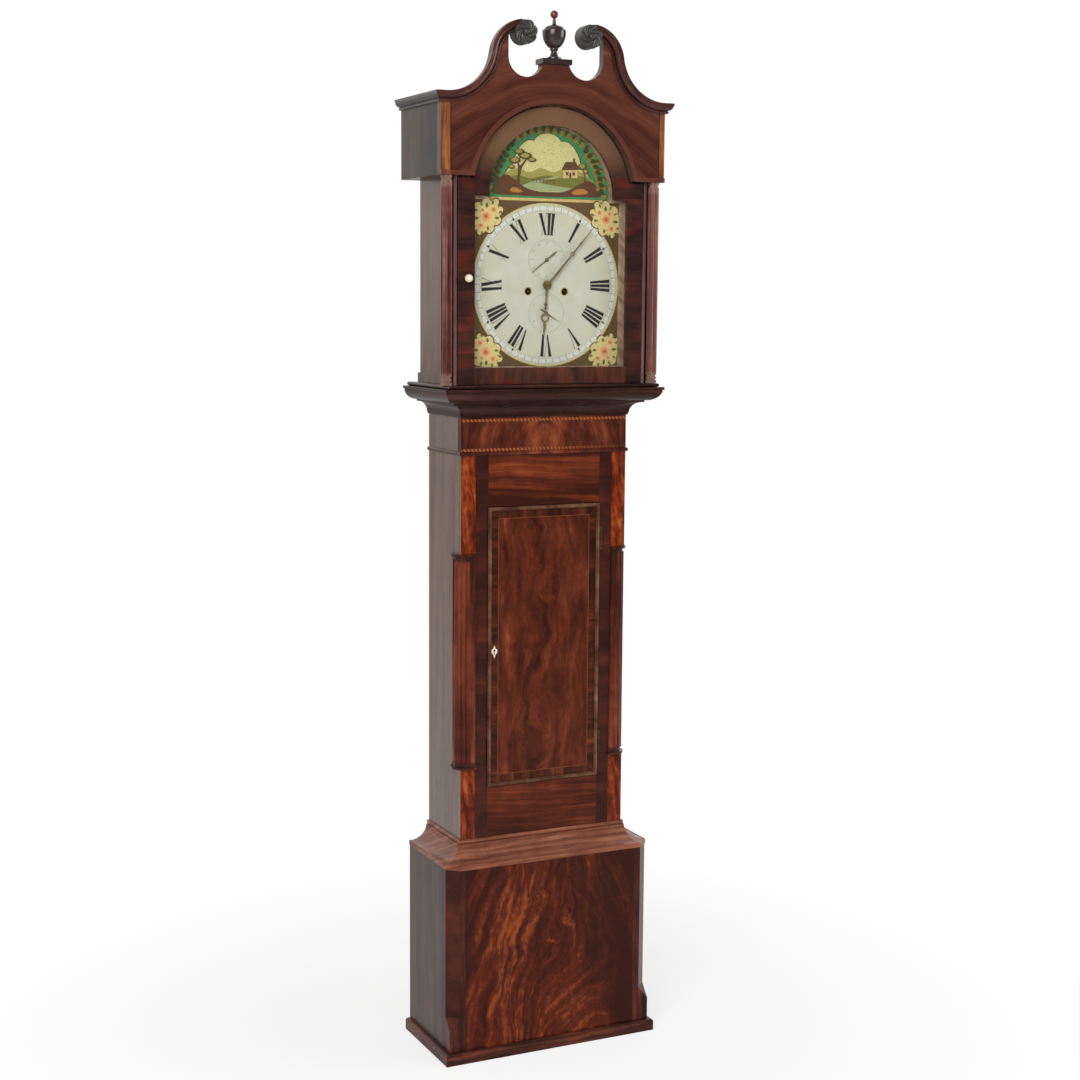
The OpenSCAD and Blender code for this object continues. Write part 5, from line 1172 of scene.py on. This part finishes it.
def swept(name, rows, work, node):
    """A moulding run along rows of places, smooth along its length, closed at both ends."""
    run = bmesh.new()
    clad(run, rows)
    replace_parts(made(name, finished(name, run, 32), work.material, "hood"), node)


def neck_stop(t, turn):
    """The turn about the upper centre at which one line of the section meets the rosette."""
    while turn < radians(84):
        x, z = swan_2[0] + (swan_2[2] - t) * cos(turn), swan_2[1] + (swan_2[2] - t) * sin(turn)
        if (x - rosette_at[0]) ** 2 + (z - rosette_at[1]) ** 2 < (rosette_r - 0.0012) ** 2:
            break
        turn += radians(0.25)
    return turn


def neck_rows(side):
    """One neck, from the mitre at the corner to where it dies into its rosette."""
    start, over = radians(270), atan2(swan_1[1] - swan_2[1], swan_1[0] - swan_2[0])
    rows = [[(side * (frieze_half + out), frieze_y - out, cornice_top - t) for t, out in neck_section]]
    for k in range(25):
        a = start + (over + pi - start) * k / 24
        rows.append([(side * (swan_1[0] + (swan_1[2] + t) * cos(a)), frieze_y - out,
                      swan_1[1] + (swan_1[2] + t) * sin(a)) for t, out in neck_section])
    stops = [neck_stop(t, over) for t, out in neck_section]
    for k in range(1, 33):
        turns = [over + (stop - over) * k / 32 for stop in stops]
        rows.append([(side * (swan_2[0] + (swan_2[2] - t) * cos(a)), frieze_y - out,
                      swan_2[1] + (swan_2[2] - t) * sin(a)) for (t, out), a in zip(neck_section, turns)])
    return rows


neck_wood = straight(
    "swan_neck_mahogany", lambda at: (at.y, at.x, at.z),
    ((36, 18, 16), (56, 30, 26), (76, 42, 35), (102, 64, 53)),
    bold=150, slow=6, wander=0.004, roughness=0.26, **red_polish, Coat_Weight=0.3, Coat_Roughness=0.22)
cornice = straight(
    "cornice_mahogany", lambda at: (at.z, at.y, at.x),
    ((44, 36, 30), (56, 47, 40), (70, 58, 49), (82, 68, 58)),
    bold=150, slow=6, wander=0.004, roughness=0.24, IOR=1.6)
for side, end in ((1, "right"), (-1, "left")):
    swept("swan_neck_" + end, neck_rows(side), neck_wood, "swan_neck_mouldings")
    swept("cornice_" + end,
          [[(side * (frieze_half + out), y - out * mitred, cornice_top - t) for t, out in neck_section]
           for y, mitred in ((wall_y, 0), (frieze_y, 1))], cornice, "hood_cornice")

# The mask is the thin veneered board inside the hood, cut to the shape of the dial. Only its edge
# shows, through the glass, and it is a pale olive brown.
olive = Finish("mask_olive_wood", roughness=0.5)
olive.paint(figure(olive, olive.x + olive.z, olive.z - olive.x, olive.y,
                   ((128, 104, 80), (158, 132, 106), (176, 150, 124), (190, 166, 138)),
                   bold=60, slow=5, wander=0.01))
eased("dial_mask", olive, 0)

# The rosettes that end the swan necks: two turned bosses, carved with leaves that twist in to a
# button, each the other way. They are stained nearly black and glued to the board.
rosette_back, boss_deep = reach("rosettes", "y")[1], 0.0255
button_part, leaves, leaf_twist = 0.27, 7, 1.5
carving = Finish("dark_carving", roughness=0.42, IOR=1.5)
dust = carving.cloud(carving.x * 70, carving.y * 70, carving.z * 70)
carving.paint(carving.tones(dust, [(0.3, shade(42, 41, 38)), (0.6, shade(54, 53, 49)),
                                   (0.8, shade(66, 65, 60))]))


def whorl_place(u, a, way):
    """The radius and depth of the carving, at a part u of the whole radius and a turn a."""
    leaf_high = abs(sin(leaves / 2 * (a + way * leaf_twist * (1 - u)))) ** 0.6
    if u > button_part:
        return (rosette_r * u * (1 - 0.06 * (1 - leaf_high) * u),
                0.0280 + 0.0035 * (1 - u * u) + 0.0042 * leaf_high * min(1, (u - button_part) / 0.15))
    return rosette_r * u, 0.0312 + 0.0068 * (1 - (u / button_part) ** 2) ** 0.5


def whorl(name, way, steps=126, rounds=26):
    """A carved rosette: a round boss with leaves cut on its face that twist in to a button."""
    def around(place_of):
        row = []
        for k in range(steps):
            a = 2 * pi * k / steps
            r, depth = place_of(a)
            row.append((r * sin(a), -depth, r * cos(a)))
        return row

    work = bmesh.new()
    rim = [around(lambda a: (rosette_r * 0.975, depth)) for depth in (0.0, boss_deep)]
    cut = [around(lambda a: whorl_place(1 - 0.97 * q / rounds, a, way)) for q in range(rounds + 1)]
    clad(work, rim + cut)
    return finished(name, work, 60)


for side, name in ((1, "rosette_right"), (-1, "rosette_left")):
    boss = whorl(name, side)
    boss.transform(Matrix.Translation((side * rosette_at[0], rosette_back, rosette_at[1])))
    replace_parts(made(name, boss, carving.material, "hood"), "rosettes")

# The finial is an urn turned in dark mahogany, with a redder ball at its tip. It stands on a cap in
# the middle of the pediment, between the rosettes.
cap_top, ball_low = 2.120, 2.242
urn = Finish("urn_mahogany", roughness=0.26, IOR=1.55)
grime = urn.cloud(urn.x * 60, urn.y * 60, urn.z * 90, detail=3)
urn_colour = urn.tones(grime, [(0.3, shade(30, 21, 22)), (0.7, shade(56, 41, 40))])
in_cap = urn.rise(urn.z, cap_top + 0.001, cap_top - 0.001)
in_ball = urn.rise(urn.z, ball_low - 0.0005, ball_low + 0.0005)
urn_colour = urn.blend(in_cap * 0.7, urn_colour, shade(34, 32, 28))
urn.paint(urn.blend(in_ball * 0.8, urn_colour, shade(104, 46, 34)))
eased("finial", urn, 0.0003, 50)

bpy.context.view_layer.update()
